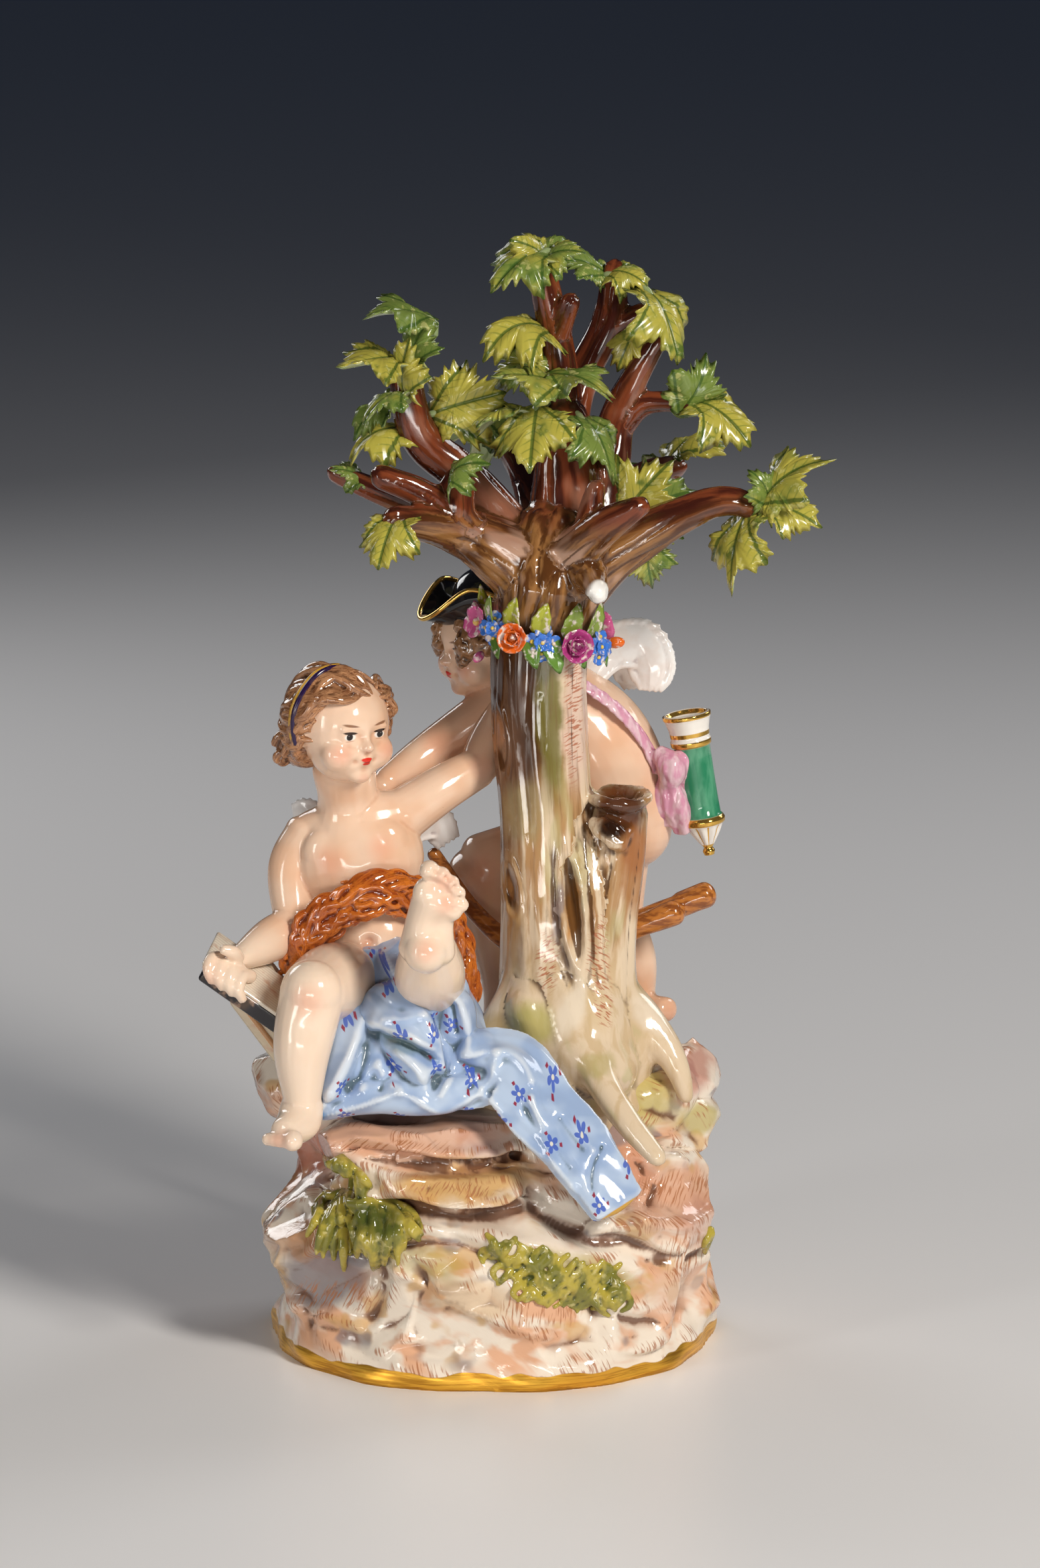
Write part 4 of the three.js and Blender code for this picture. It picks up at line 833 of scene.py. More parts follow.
fork = bark.brush(fork, bark.step(patches, 0.54, 0.64), 0.7, (0.60, 0.38, 0.27))
wood_tone = bark.mix(bark.step(height, 184, 190), lower, fork)
wood_tone = bark.mix(bark.step(bark.plus(height, bark.times(patches, 20)), 216, 226),
                     wood_tone, crown)
wood_tone = bark.washes(wood_tone, bark.front(1.2, 4), [
    (32, 136, 9, 10, 0, (0.075, 0.02, 0.006), 0.97), (36, 126, 4.4, 9, 0, (0.34, 0.12, 0.03), 0.85),
    (31.6, 141, 6, 2.2, 0, (0.15, 0.045, 0.014), 0.7), (29.6, 131.6, 4, 3, 0, (0.02, 0.008, 0.004), 0.95),
    (20.4, 111, 2.2, 10, -3, (0.60, 0.27, 0.06), 0.95), (16.4, 111, 1.8, 10, -6, (0.30, 0.24, 0.23), 0.8),
    (4.6, 116, 3.4, 5, 0, (0.28, 0.13, 0.04), 0.85), (0.6, 156, 3, 7, 0, (0.30, 0.12, 0.04), 0.9),
])
# painted shade: near-black brown in the cracks and hollows of the bark
wood_tone = bark.brush(wood_tone, bark.step(bark.kept(), 0.56, 0.86), 0.85, (0.07, 0.025, 0.008))
broken = bark.near((26.4, -24.6, 195.6), 3.6, 0.25)
bark.paint(bark.mix(broken, wood_tone, (0.88, 0.86, 0.82)))
bark.relief(fine, depth=0.2, strength=0.15)
hand_over(tree, bark)

# The leaves
# Vine leaves pressed from thin clay, each of five toothed lobes, set on short stems at the ends of
# the boughs. Yellow-green enamel with dark veins in front, paler at the back.
def toothed_outline():
    """The edge of a leaf one unit long, from its stem round to its stem again."""
    teeth = [(-27, 0.74), (-21, 0.70), (-13, 0.92), (-8, 0.84), (0, 1), (7, 0.82), (15, 0.90),
             (21, 0.68), (27, 0.76)]
    edge = [(-0.05, 0)]
    for lobe, length in ((-124, 0.46), (-62, 0.58), (0, 0.66), (62, 0.58), (124, 0.46)):
        if lobe > -124:
            edge.append((lobe - 31, 0.36))
        edge += [(lobe + turn, length * share) for turn, share in teeth]
    polar = edge[1:]
    return [edge[0]] + [(0.34 + reach * math.cos(math.radians(turn)),
                         reach * math.sin(math.radians(turn))) for turn, reach in polar]


LEAF_EDGE = toothed_outline()
VEINS = [(math.radians(a), reach) for a, reach in
         ((0, 0.95), (38, 0.72), (-38, 0.72), (78, 0.42), (-78, 0.42))]


def blade(stalk, tip, facing, droop, seed, rings=12, columns=150, thick=0.65):
    """One leaf between its stalk and its tip, its upper side turned to facing."""
    draw = random.Random(seed)
    stalk, tip, facing = (np.array(p, dtype=float) for p in (stalk, tip, facing))
    size = np.linalg.norm(tip - stalk)
    along = (tip - stalk) / size
    face = facing - along * facing.dot(along)
    face /= np.linalg.norm(face)
    across = np.cross(face, along)
    wave, phase, twist = draw.uniform(0.07, 0.13), draw.uniform(0, 6), draw.uniform(-0.5, 0.5)
    droop = 1.5 * droop * draw.uniform(0.8, 1.3)
    jag = [1 + draw.uniform(-0.09, 0.09) for i in LEAF_EDGE]
    jag[0] = 1
    edge = np.array([(0.34 + (x - 0.34) * k, y * k) for (x, y), k in zip(LEAF_EDGE, jag)] + LEAF_EDGE[:1])
    kept = {}

    def skin(angle, climb):
        spoke = angle / (2 * math.pi) * len(LEAF_EDGE)
        share = 1 - np.abs(1 - 2 * climb)
        u = 0.34 + (np.interp(spoke, np.arange(len(edge)), edge[:, 0]) - 0.34) * share
        v = np.interp(spoke, np.arange(len(edge)), edge[:, 1]) * share
        away = np.full(len(u), 1.0)
        for turn, reach in VEINS:
            run = np.clip(u * math.cos(turn) + v * math.sin(turn), 0, reach)
            away = np.minimum(away, np.hypot(u - run * math.cos(turn), v - run * math.sin(turn)))
        lift = (1.2 * droop * (u - u * u) - 0.9 * droop * v * v + 0.05 * np.minimum(away / 0.1, 1) ** 0.8
                + wave * np.sin(3 * angle + phase) * share ** 3 + twist * v * u)
        half = thick * (1 - 0.55 * share ** 3) * np.where(climb > 0.5, 1, -1)
        half = np.where(share > 0.999, 0, half)
        kept["blade"] = np.stack([u, v, np.where(climb > 0.49, 1.0, 0.0)], axis=1)
        place = (stalk + along * (size * u)[:, None] + across * (size * v)[:, None]
                 + face * (size * lift + half)[:, None])
        return place.T

    piece = wrapped(columns, rings, skin)
    store(piece, "blade", kept["blade"])
    store(piece, "shade", np.full(len(piece.data.vertices), draw.random()))
    gaps = [(np.linalg.norm(spot - stalk), tuple(spot)) for spot in bough_spots]
    root = np.array(min(gaps)[1])
    middle = (root + stalk) / 2 - face * 0.6
    stem = [root, middle] if np.linalg.norm(root - stalk) > 2 else [stalk - along * 1.5]
    stem += [stalk, stalk + along * size * 0.3 + face * size * droop * 0.18]
    return piece, [tuple(p) for p in stem]


bough_spots = np.vstack([
    smooth_route([p[:3] for p in route], 12 * len(route))[0] for route in BOUGH_ROUTES])
FRONT, ABOVE = (-0.15, -1, 0.35), (-0.1, -0.55, 1)
LEFT, RIGHT = (-0.8, -0.6, 0.4), (0.8, -0.6, 0.4)
LEAVES = [
    # round the top
    ((15, 0, 277), (1, -8, 266), (-0.6, -0.8, 0.6), 0.5),
    ((12, 0, 273), (24, -6, 276), ABOVE, 0.5),
    ((14, 1, 274), (2.6, -5, 279.6), (0, -0.8, 1), 0.35),
    ((10, 1, 272), (20, 9, 278), (0, -0.8, 1), 0.4),
    ((29, 12, 269), (16, 10, 274), ABOVE, 0.3),
    ((28, 11, 270), (39, 7, 266), ABOVE, 0.4),
    ((37, 10, 268), (43.5, 3, 246), RIGHT, 0.4),
    ((37, 10, 259), (31, 8, 246), FRONT, 0.2),
    ((16, 2, 256), (-2, -6, 249), LEFT, 0.6),
    ((16, 4, 252), (0, 2, 242), FRONT, 0.4),
    # on the upper left bough
    ((-14, 1, 259), (-33, -5, 261), (0, -0.35, 1), 0.3),
    ((-20, -1, 246), (-14, 2, 260), LEFT, 0.3),
    ((-21, -1, 250), (-38, -12, 248), (-0.5, -0.7, 0.8), 0.2),
    ((-20.5, -3, 240), (-18.5, -9, 257), LEFT, 0.2),
    ((-20, -2, 242), (-31, -12, 234), LEFT, 0.3),
    ((-20, 3, 240), (-34, 0, 230), (-0.5, -0.5, 0.9), 0.5),
    ((-18, 4, 231), (-36, 2, 222), (-0.2, -0.4, 1), 0.6),
    ((-16, 2, 236), (5, -1, 242), FRONT, 0.2),
    # at the tips of the left snags
    ((-31, 3, 218), (-41, -1, 222), ABOVE, 0.4),
    ((-22, -19, 215), (-27, -27, 200), (-0.5, -1, 0.2), 0.3),
    ((-11, -11, 219), (1, -17, 225), ABOVE, 0.5),
    # in the middle, towards the front
    ((18, -4, 243), (-1, -14, 246), ABOVE, 0.25),
    ((14, -4, 246), (30, -13, 242), ABOVE, 0.25),
    ((11.6, -4, 240), (9.6, -19, 223), FRONT, 0.25),
    ((20, -3, 238), (28, -10, 218), RIGHT, 0.3),
    ((8, -2, 236), (-4, -13, 233), LEFT, 0.4),
    # on the upper right bough
    ((46, 8, 236), (54, 6, 251), (0.5, -0.8, 0.1), 0.3),
    ((49, 8, 239), (63.5, 2, 226), (0.8, -0.6, 0.5), 0.4),
    # in the crook of the right bough
    ((31, 0, 209), (45, 2, 225), FRONT, 0.2),
    ((31, 1, 208), (51, 5, 217), (0.2, -1, 0.7), 0.3),
    ((38, -3, 207), (40, -2, 193), FRONT, 0.2),
    # at the end of the right bough
    ((66, -8, 213), (84.6, -11, 227), (-0.3, -0.6, 1), 0.3),
    ((68, -8, 214), (63, -11, 225), ABOVE, 0.3),
    ((66, -9, 215), (81, -13, 209), RIGHT, 0.3),
    ((64, -8, 214), (60.5, -12, 192), (-1, -0.9, 0), 0.2),
    # at the back
    ((5, 34, 222), (4, 54, 229), (0, 0.4, 1), 0.35),
    ((5, 34, 223), (-14, 40, 222), (-0.3, 0.5, 1), 0.4),
    ((44, 31, 217), (60, 45, 224), (0, 0.3, 1), 0.35),
    ((45, 32, 218), (38, 48, 208), (0.2, 1, 0.5), 0.3),
]
made = [blade(*place, seed=i) for i, place in enumerate(LEAVES)]
stems = bars([[(*p, r) for p, r in zip(stem, np.linspace(1.5, 0.7, len(stem)))] for piece, stem in made],
             fineness=3)
store(stems, "blade", np.tile([0.5, 0.0, 0.0], (len(stems.data.vertices), 1)))
leaves = as_one("leaves", [stems] + [piece for piece, stem in made])

leaf = Glaze("Leaf glaze", roughness=0.20)
blade_at = leaf.kept("blade", "Vector")
leaf_u, leaf_v = leaf.axis("X", blade_at), leaf.axis("Y", blade_at)
upper = leaf.step(leaf.axis("Z", blade_at), 0.4, 0.6)
shade = leaf.kept("shade")
veins, ribs = [], []
for turn, reach in VEINS:
    run = leaf.plus(leaf.times(leaf_u, math.cos(turn)),
                    leaf.times(leaf_v, math.sin(turn)))
    off = leaf.maths("ABSOLUTE", leaf.maths("SUBTRACT", leaf.times(leaf_v, math.cos(turn)),
                                            leaf.times(leaf_u, math.sin(turn))))
    ahead_of = leaf.step(run, 0.0, 0.04)
    veins.append(leaf.times(leaf.step(off, 0.028, 0.012), ahead_of))
    slant = leaf.maths("FRACT", leaf.times(leaf.maths("SUBTRACT", run, off), 9))
    rib = leaf.times(leaf.step(slant, 0.26, 0.10), leaf.step(off, 0.16, 0.05))
    ribs.append(leaf.times(rib, leaf.step(run, 0.1, 0.25)))
patch = leaf.mottle((5, 5, 5), detail=2)
green = leaf.mix(leaf.step(leaf.plus(shade, patch), 0.70, 1.15), (0.42, 0.37, 0.06),
                 (0.16, 0.22, 0.045))
green = leaf.brush(green, leaf.step(patch, 0.58, 0.70), 0.7, (0.05, 0.10, 0.012))
worn = leaf.times(leaf.step(leaf.mottle((2.5, 2.5, 2.5)), 0.58, 0.66), 0.5)
green = leaf.mix(worn, green, (0.62, 0.58, 0.22))
green = leaf.brush(green, leaf.most(ribs), 0.45, (0.06, 0.13, 0.02))
green = leaf.brush(green, leaf.most(veins), 0.8, (0.035, 0.085, 0.012))
back = leaf.mix(leaf.step(patch, 0.4, 0.65), (0.50, 0.53, 0.30), (0.33, 0.40, 0.20))
back = leaf.brush(back, leaf.most(veins), 0.6, (0.20, 0.27, 0.10))
leaf.paint(leaf.mix(upper, back, green))
hand_over(leaves, leaf)

# The moss
# Fronds of moss pressed in clay and stuck on in tufts, yellow-green with darker tips.
def on_rock(x, z):
    """The place on the front of the rock at this side and height."""
    hit, place, outward, face = rock_base.ray_cast(Vector((x, -100, z)) * MM, Vector((0, 1, 0)))
    return place / MM if hit and place.y < 0.01 else None


def fronds(middle, count, reach, width, seed, spread=150, start=-165):
    """Routes of curled fronds that spring from one place on the rock and bend down."""
    draw = random.Random(seed)
    made = []
    for i in range(count):
        angle = math.radians(start + spread * (i + draw.uniform(0.2, 0.8)) / count)
        length = reach * draw.uniform(0.65, 1.1)
        out = draw.uniform(1.6, 3.8)
        route = []
        for share, lift, size in ((0.0, 0.2, 0.9), (0.3, 1.0, 1.2), (0.65, 0.9, 1.1), (1.0, 0.2, 0.5)):
            x = middle[0] + length * share * math.cos(angle - 0.5 * share * math.cos(angle))
            z = middle[1] + length * (share * math.sin(angle) - 0.28 * share * share)
            spot = on_rock(x, z)
            if spot:
                route.append((spot.x, max(spot.y - out * lift, -58), spot.z,
                              width * size * draw.uniform(0.85, 1.1)))
        if len(route) > 2:
            made.append(route)
    return made


def ruffle(start, finish, count, length, width, seed):
    """Routes of short upright curls side by side along a band."""
    draw = random.Random(seed)
    made = []
    for i in range(count):
        share = (i + draw.uniform(0.1, 0.9)) / count
        x = start[0] + (finish[0] - start[0]) * share
        z = start[1] + (finish[1] - start[1]) * share + draw.uniform(-0.16, 0.16) * length
        route = []
        for step, lift in ((0.5, 0.1), (0.2, 0.9), (-0.2, 0.9), (-0.5, 0.0)):
            spot = on_rock(x + 1.6 * math.sin(5 * step + i), z + step * length)
            if spot:
                route.append((spot.x, max(spot.y - 0.7 * lift, -58), spot.z, width * (0.8 + 0.3 * lift)))
        if len(route) > 2:
            made.append(route)
    return made


moss_routes = (fronds((-29, 47), 14, 14, 1.15, 21, 176, -178)
               + fronds((-24, 44), 8, 11, 1.05, 25, 120, -120)
               + fronds((-37, 45), 9, 13, 1.15, 22, 130, -178) + fronds((-30, 42), 7, 9, 1.0, 23, 110, -145)
               + fronds((-37, 57), 7, 7, 1.1, 24, 150, -170) + fronds((-33, 54), 7, 7, 1.1, 28, 150, -165)
               + ruffle((-2, 37), (32, 26), 30, 6.4, 0.95, 26) + ruffle((1, 32), (34, 21.6), 28, 6, 0.9, 27)
               + ruffle((6, 27.6), (28, 20), 18, 5, 0.85, 29) + fronds((56, 36), 7, 9, 1.0, 30, 110, -145))
moss = fuse("moss", [bars(moss_routes, fineness=5)], 0.38, rounds=0)
sculpt(moss, lambda place, outward: place - outward * (
    0.16 * np.abs(rough(place * (1, 1, 0.6), 1.6, 4, 1)))[:, None])
thin(moss, 50000)
mark_hollows(moss, rounds=4, depth=0.3)
mossy = Glaze("Moss glaze", roughness=0.12)
tuft = mossy.mix(mossy.step(mossy.mottle((5, 5, 6), detail=3), 0.42, 0.60), (0.46, 0.37, 0.06),
                 (0.20, 0.19, 0.035))
tuft = mossy.brush(tuft, mossy.step(mossy.mottle((2.5, 2.5, 2.5)), 0.58, 0.68), 0.6, (0.60, 0.52, 0.22))
tuft = mossy.washes(tuft, mossy.front(1.5, 4), [(-28, 34, 8, 6, 0, (0.035, 0.06, 0.012), 0.7)])
# painted shade: near black in the hollows between the fronds
tuft = mossy.brush(tuft, mossy.step(mossy.kept(), 0.54, 0.85), 0.85, (0.03, 0.045, 0.01))
mossy.paint(tuft)
hand_over(moss, mossy)

# The garland
# Modelled roses, forget-me-nots and buds with leaflets, applied in a ring round the trunk.
def tinted(piece, colour):
    """Keeps the enamel colour of a small applied part on its vertices."""
    store(piece, "tint", np.tile(colour, (len(piece.data.vertices), 1)))
    return piece


def set_to(piece, spot, outward, spin=0.0):
    """Turns a part's own Z to the outward way and puts it on its spot."""
    turn = Vector(outward).normalized().to_track_quat("Z", "Y")
    piece.matrix_world = (turn.to_matrix().to_4x4()
                          @ Euler((0, 0, spin)).to_matrix().to_4x4() @ piece.matrix_world)
    piece.location += Vector(spot) * MM
    return settle(piece)


def petal(size, lean, turn, colour, wide=1.0, cup=0.5):
    """A cupped petal that leans out from the middle of its flower."""
    def skin(angle, climb):
        share = 1 - np.abs(1 - 2 * climb)
        x = share * np.cos(angle) * 0.5 + 0.5
        y = share * np.sin(angle) * 0.46 * wide * (0.75 + 0.35 * x)
        half = np.where(climb > 0.5, 0.09, -0.09) * (1 - share ** 3)
        z = cup * (x - 0.35) ** 2 + cup * 0.8 * y * y + half
        z = z + 0.05 * np.sin(5 * angle) * share ** 2
        ring = math.radians(turn)
        up = math.radians(lean)
        out, rise = x * math.cos(up) - z * math.sin(up), x * math.sin(up) + z * math.cos(up)
        return (size * (out * math.cos(ring) - y * math.sin(ring)),
                size * (out * math.sin(ring) + y * math.cos(ring)), size * rise)

    return tinted(wrapped(14, 8, skin), colour)


def rose(spot, outward, size, colour, seed=0):
    heart = tuple(0.45 * c for c in colour)
    parts = [tinted(ball((0, 0, 0.30 * size), (0.30 * size, 0.30 * size, 0.42 * size), rings=6), heart)]
    for count, lean, reach, start in ((3, 68, 0.62, 10), (5, 48, 0.84, 40), (6, 20, 1.05, 0)):
        mixed = tuple(c * (0.72 + 0.28 * reach) for c in colour)
        parts += [petal(size * reach, lean, start + 360 * i / count + 9 * seed, mixed, 1.35, 0.6)
                  for i in range(count)]
    return set_to(join(parts), spot, outward, seed)


def open_flower(spot, outward, size, colour, eye, seed=0):
    parts = [tinted(ball((0, 0, 0.14 * size), (0.24 * size, 0.24 * size, 0.2 * size), rings=5), eye)]
    parts += [petal(size, 12, 72 * i, colour, 1.15, 0.35) for i in range(5)]
    return set_to(join(parts), spot, outward, seed)


def cluster(spot, outward, size, colour, seed=0):
    """A bunch of forget-me-nots."""
    draw = random.Random(seed)
    outward = Vector(outward).normalized()
    side = outward.cross(Vector((0.1, 0.2, 1))).normalized()
    over = outward.cross(side)
    made = []
    for i in range(5):
        angle = 2 * math.pi * i / 4
        reach = 0 if i == 4 else 0.56 * size
        shift = side * reach * math.cos(angle) + over * reach * math.sin(angle)
        way = outward + shift * 0.16
        made.append(open_flower(Vector(spot) + shift + outward * (1.0 if i == 4 else 0.2), way,
                                size * 0.52, colour, (0.75, 0.52, 0.08), draw.uniform(0, 6)))
    return join(made)


def bud(spot, outward, size, colour):
    parts = [tinted(ball((0, 0, 0.5 * size), (0.5 * size, 0.5 * size, 0.8 * size), rings=8), colour)]
    parts += [petal(size * 0.9, 60, 120 * i, (0.16, 0.24, 0.04), 0.9, 0.5) for i in range(3)]
    return set_to(join(parts), spot, outward)


def leaflet(root, tip, facing, width=0.32, colour=(0.22, 0.30, 0.04)):
    """A small pointed leaf with a groove down its middle."""
    root, tip, facing = (np.array(p, dtype=float) for p in (root, tip, facing))
    size = np.linalg.norm(tip - root)
    along = (tip - root) / size
    face = facing - along * facing.dot(along)
    face /= np.linalg.norm(face)
    across = np.cross(face, along)

    def skin(angle, climb):
        share = 1 - np.abs(1 - 2 * climb)
        u = 0.5 + 0.5 * share * np.cos(angle)
        v = width * share * np.sin(angle) * np.sqrt(np.clip(1.15 - u, 0, 1))
        v = v * (1 + 0.08 * np.sin(9 * angle))
        half = np.where(climb > 0.5, 0.04, -0.04) * (1 - share ** 3)
        lift = 0.18 * (u - u * u) + 0.35 * np.abs(v) + half
        return (root + along * (size * u)[:, None] + across * (size * v)[:, None]
                + face * (size * lift)[:, None]).T

    return tinted(wrapped(20, 8, skin), colour)


PINK, BLUE, ORANGE = (0.56, 0.10, 0.26), (0.05, 0.18, 0.62), (0.74, 0.14, 0.015)
PURPLE, YELLOW_GREEN = (0.40, 0.045, 0.20), (0.36, 0.38, 0.03)
ring = Vector((12.6, -4, 182))


def round_trunk(turn, out=15.4, drop=0.0):
    """A place on the ring that the garland follows, and the way outward there."""
    way = Vector((math.cos(math.radians(turn)), math.sin(math.radians(turn)), 0.12))
    return ring + way * out + Vector((0, 0, drop - 1.8 * way.x)), way


garland = [
    open_flower((-3.4, -7, 185.4), (-0.8, -0.6, 0.2), 4.4, PINK, (0.7, 0.45, 0.1), 1),
    cluster((0.8, -13, 184.8), (-0.5, -0.9, 0.2), 4.2, BLUE, 2),
    rose((5.6, -17.2, 183.2), (-0.3, -1, 0.1), 4.3, ORANGE, 3),
    cluster((12.6, -18.6, 182.2), (0, -1, 0.1), 4.6, BLUE, 4),
    rose((20.3, -17.4, 181.2), (0.4, -1, 0.1), 4.8, PURPLE, 5),
    cluster((26.4, -12, 180), (0.7, -0.7, 0.1), 4.4, BLUE, 6),
    bud((29.4, -6, 180), (0.9, -0.3, 0.1), 3, ORANGE),
    bud((-2.6, -8.6, 177.6), (-0.6, -0.7, -0.5), 2.4, PINK),
]
kinds = [(25, PINK), (62, BLUE), (98, ORANGE), (135, BLUE), (168, PURPLE)]
for i, (turn, colour) in enumerate(kinds):
    spot, way = round_trunk(turn)
    if colour == BLUE:
        garland.append(cluster(spot, way, 4.4, colour, i))
    else:
        garland.append(rose(spot, way, 4.4, colour, i))
for turn, rise, colour in ((-122, 9, YELLOW_GREEN), (-95, 8.6, YELLOW_GREEN), (-66, 9, (0.2, 0.28, 0.04)),
                           (-38, 9, (0.2, 0.28, 0.04)), (-150, 8, (0.2, 0.28, 0.04)),
                           (-104, -8.4, (0.10, 0.20, 0.03)), (-84, -9, (0.12, 0.24, 0.04)),
                           (-60, -7.6, (0.10, 0.20, 0.03)), (-25, -8, (0.12, 0.24, 0.04)),
                           (-140, -7.6, (0.10, 0.20, 0.03)), (40, 8, YELLOW_GREEN), (80, -8, PINK),
                           (80, 8, (0.2, 0.28, 0.04)), (120, -8, (0.12, 0.24, 0.04)),
                           (150, 8, YELLOW_GREEN)):
    root, way = round_trunk(turn, 14)
    tip = round_trunk(turn + 9, 16.6, rise)[0]
    if colour == PINK:
        colour = (0.12, 0.24, 0.04)
    garland.append(leaflet(root, tip, way, colour=colour))
garland = as_one("garland", garland)
mark_hollows(garland, rounds=3, depth=0.2)
bloom = Glaze("Flower glaze", roughness=0.12)
tint = bloom.kept("tint", "Vector")
pale = bloom.mix(bloom.step(bloom.mottle((1.6, 1.6, 1.6), detail=2), 0.30, 0.48), (0.76, 0.66, 0.60), tint)
# painted shade: a dark wash in the hollows between the petals and leaflets
bloom.paint(bloom.brush(pale, bloom.step(bloom.kept(), 0.55, 0.85), 0.5, (0.05, 0.03, 0.04)))
hand_over(garland, bloom)

# The seated child
# A bare winged child pressed in moulds and repaired by hand: one shin down over the rock, the
# other foot held out, the face turned to the trunk. Glazed flesh with a peach blush.
def shifted(point, x, y, z):
    return (point[0] + x, point[1] + y, point[2] + z)


def on_head(centre, radius, nod, turned, side, out, rise):
    """A place on a head, measured from its middle in shares of its radius."""
    turn = Euler((math.radians(nod), 0, math.radians(turned)))
    where = Vector((side, -out, rise)) * radius
    where.rotate(turn)
    return Vector(centre) + where


def childs_head(centre, radius, nod, turned):
    """The skull, cheeks, brow, nose, lips, chin and ears of a child."""
    def lump(side, out, rise, size, tilt=0):
        place = on_head(centre, radius, nod, turned, side, out, rise)
        return ball(place, tuple(s * radius for s in size), (nod, tilt, turned), rings=12)

    lumps = [
        lump(0, 0, 0.10, (0.94, 1.0, 1.0)),
        lump(0, 0.28, -0.42, (0.80, 0.70, 0.62)),
        lump(0, 0.60, 0.30, (0.62, 0.36, 0.42)),
        lump(0, 0.72, -0.80, (0.26, 0.22, 0.20)),
        lump(0, 0.84, -0.50, (0.26, 0.14, 0.20)),
        lump(0, 0.90, -0.02, (0.10, 0.13, 0.26)),
        lump(0, 1.03, -0.20, (0.125, 0.13, 0.11)),
        lump(0, 0.965, -0.455, (0.15, 0.085, 0.045)),
        lump(0, 0.945, -0.555, (0.115, 0.09, 0.06)),
    ]
    for side in (-1, 1):
        lumps += [
            lump(side * 0.42, 0.60, -0.40, (0.38, 0.34, 0.36)),
            lump(side * 0.09, 0.965, -0.24, (0.075, 0.09, 0.065)),
            lump(side * 0.34, 0.80, 0.0, (0.19, 0.12, 0.14)),
            lump(side * 0.34, 0.865, 0.19, (0.22, 0.08, 0.06), side * 10),
            lump(side * 0.93, -0.02, -0.10, (0.10, 0.20, 0.26)),
            lump(side * 0.98, 0.0, -0.10, (0.09, 0.13, 0.18)),
        ]
    return lumps


def face_dents(centre, radius, nod, turned):
    """How a head's skin is pressed in beside the nose, under the lip and round the eyes."""
    dents = [(0, 0.98, -0.665, 0.15, 0.05), (0, 1.0, -0.36, 0.06, 0.02)]
    for side in (-1, 1):
        dents += [(side * 0.17, 0.92, 0.03, 0.13, 0.075), (side * 0.52, 0.72, 0.02, 0.13, 0.03),
                  (side * 0.34, 0.93, 0.115, 0.14, 0.03), (side * 0.34, 0.93, -0.13, 0.15, 0.035),
                  (side * 0.225, 0.93, -0.50, 0.09, 0.055), (side * 1.08, 0.02, -0.1, 0.10, 0.07)]
    return [(np.array(on_head(centre, radius, nod, turned, *d[:3])), d[3] * radius, d[4] * radius)
            for d in dents]


def press_in(dents):
    """Pushes the skin in round each (place, width, depth)."""
    def shape(place, outward):
        depth = np.zeros(len(place))
        for centre, width, deep in dents:
            gap = ((place - centre) ** 2).sum(axis=1) / width ** 2
            depth += deep * np.exp(-gap)
        return place - outward * depth[:, None]

    return shape


def flesh_tone(glaze, warm=0.0):
    """Pale peach with fine brown specks, and painted shade, a warm brown, in the hollows."""
    cloud = glaze.mottle((14, 14, 14), detail=2)
    base = glaze.mix(glaze.step(cloud, 0.38, 0.62),
                     (0.84 - 0.04 * warm, 0.60 - 0.12 * warm, 0.44 - 0.14 * warm),
                     (0.80 - 0.04 * warm, 0.51 - 0.12 * warm, 0.34 - 0.12 * warm))
    # painted shade: warm brown in the creases and hollows
    base = glaze.brush(base, glaze.step(glaze.kept(), 0.55, 0.9), 0.6, (0.58, 0.26, 0.14))
    spots = glaze.step(glaze.mottle((0.5, 0.5, 0.5), detail=1), 0.80, 0.83)
    return glaze.brush(base, spots, 0.5, (0.20, 0.12, 0.08))


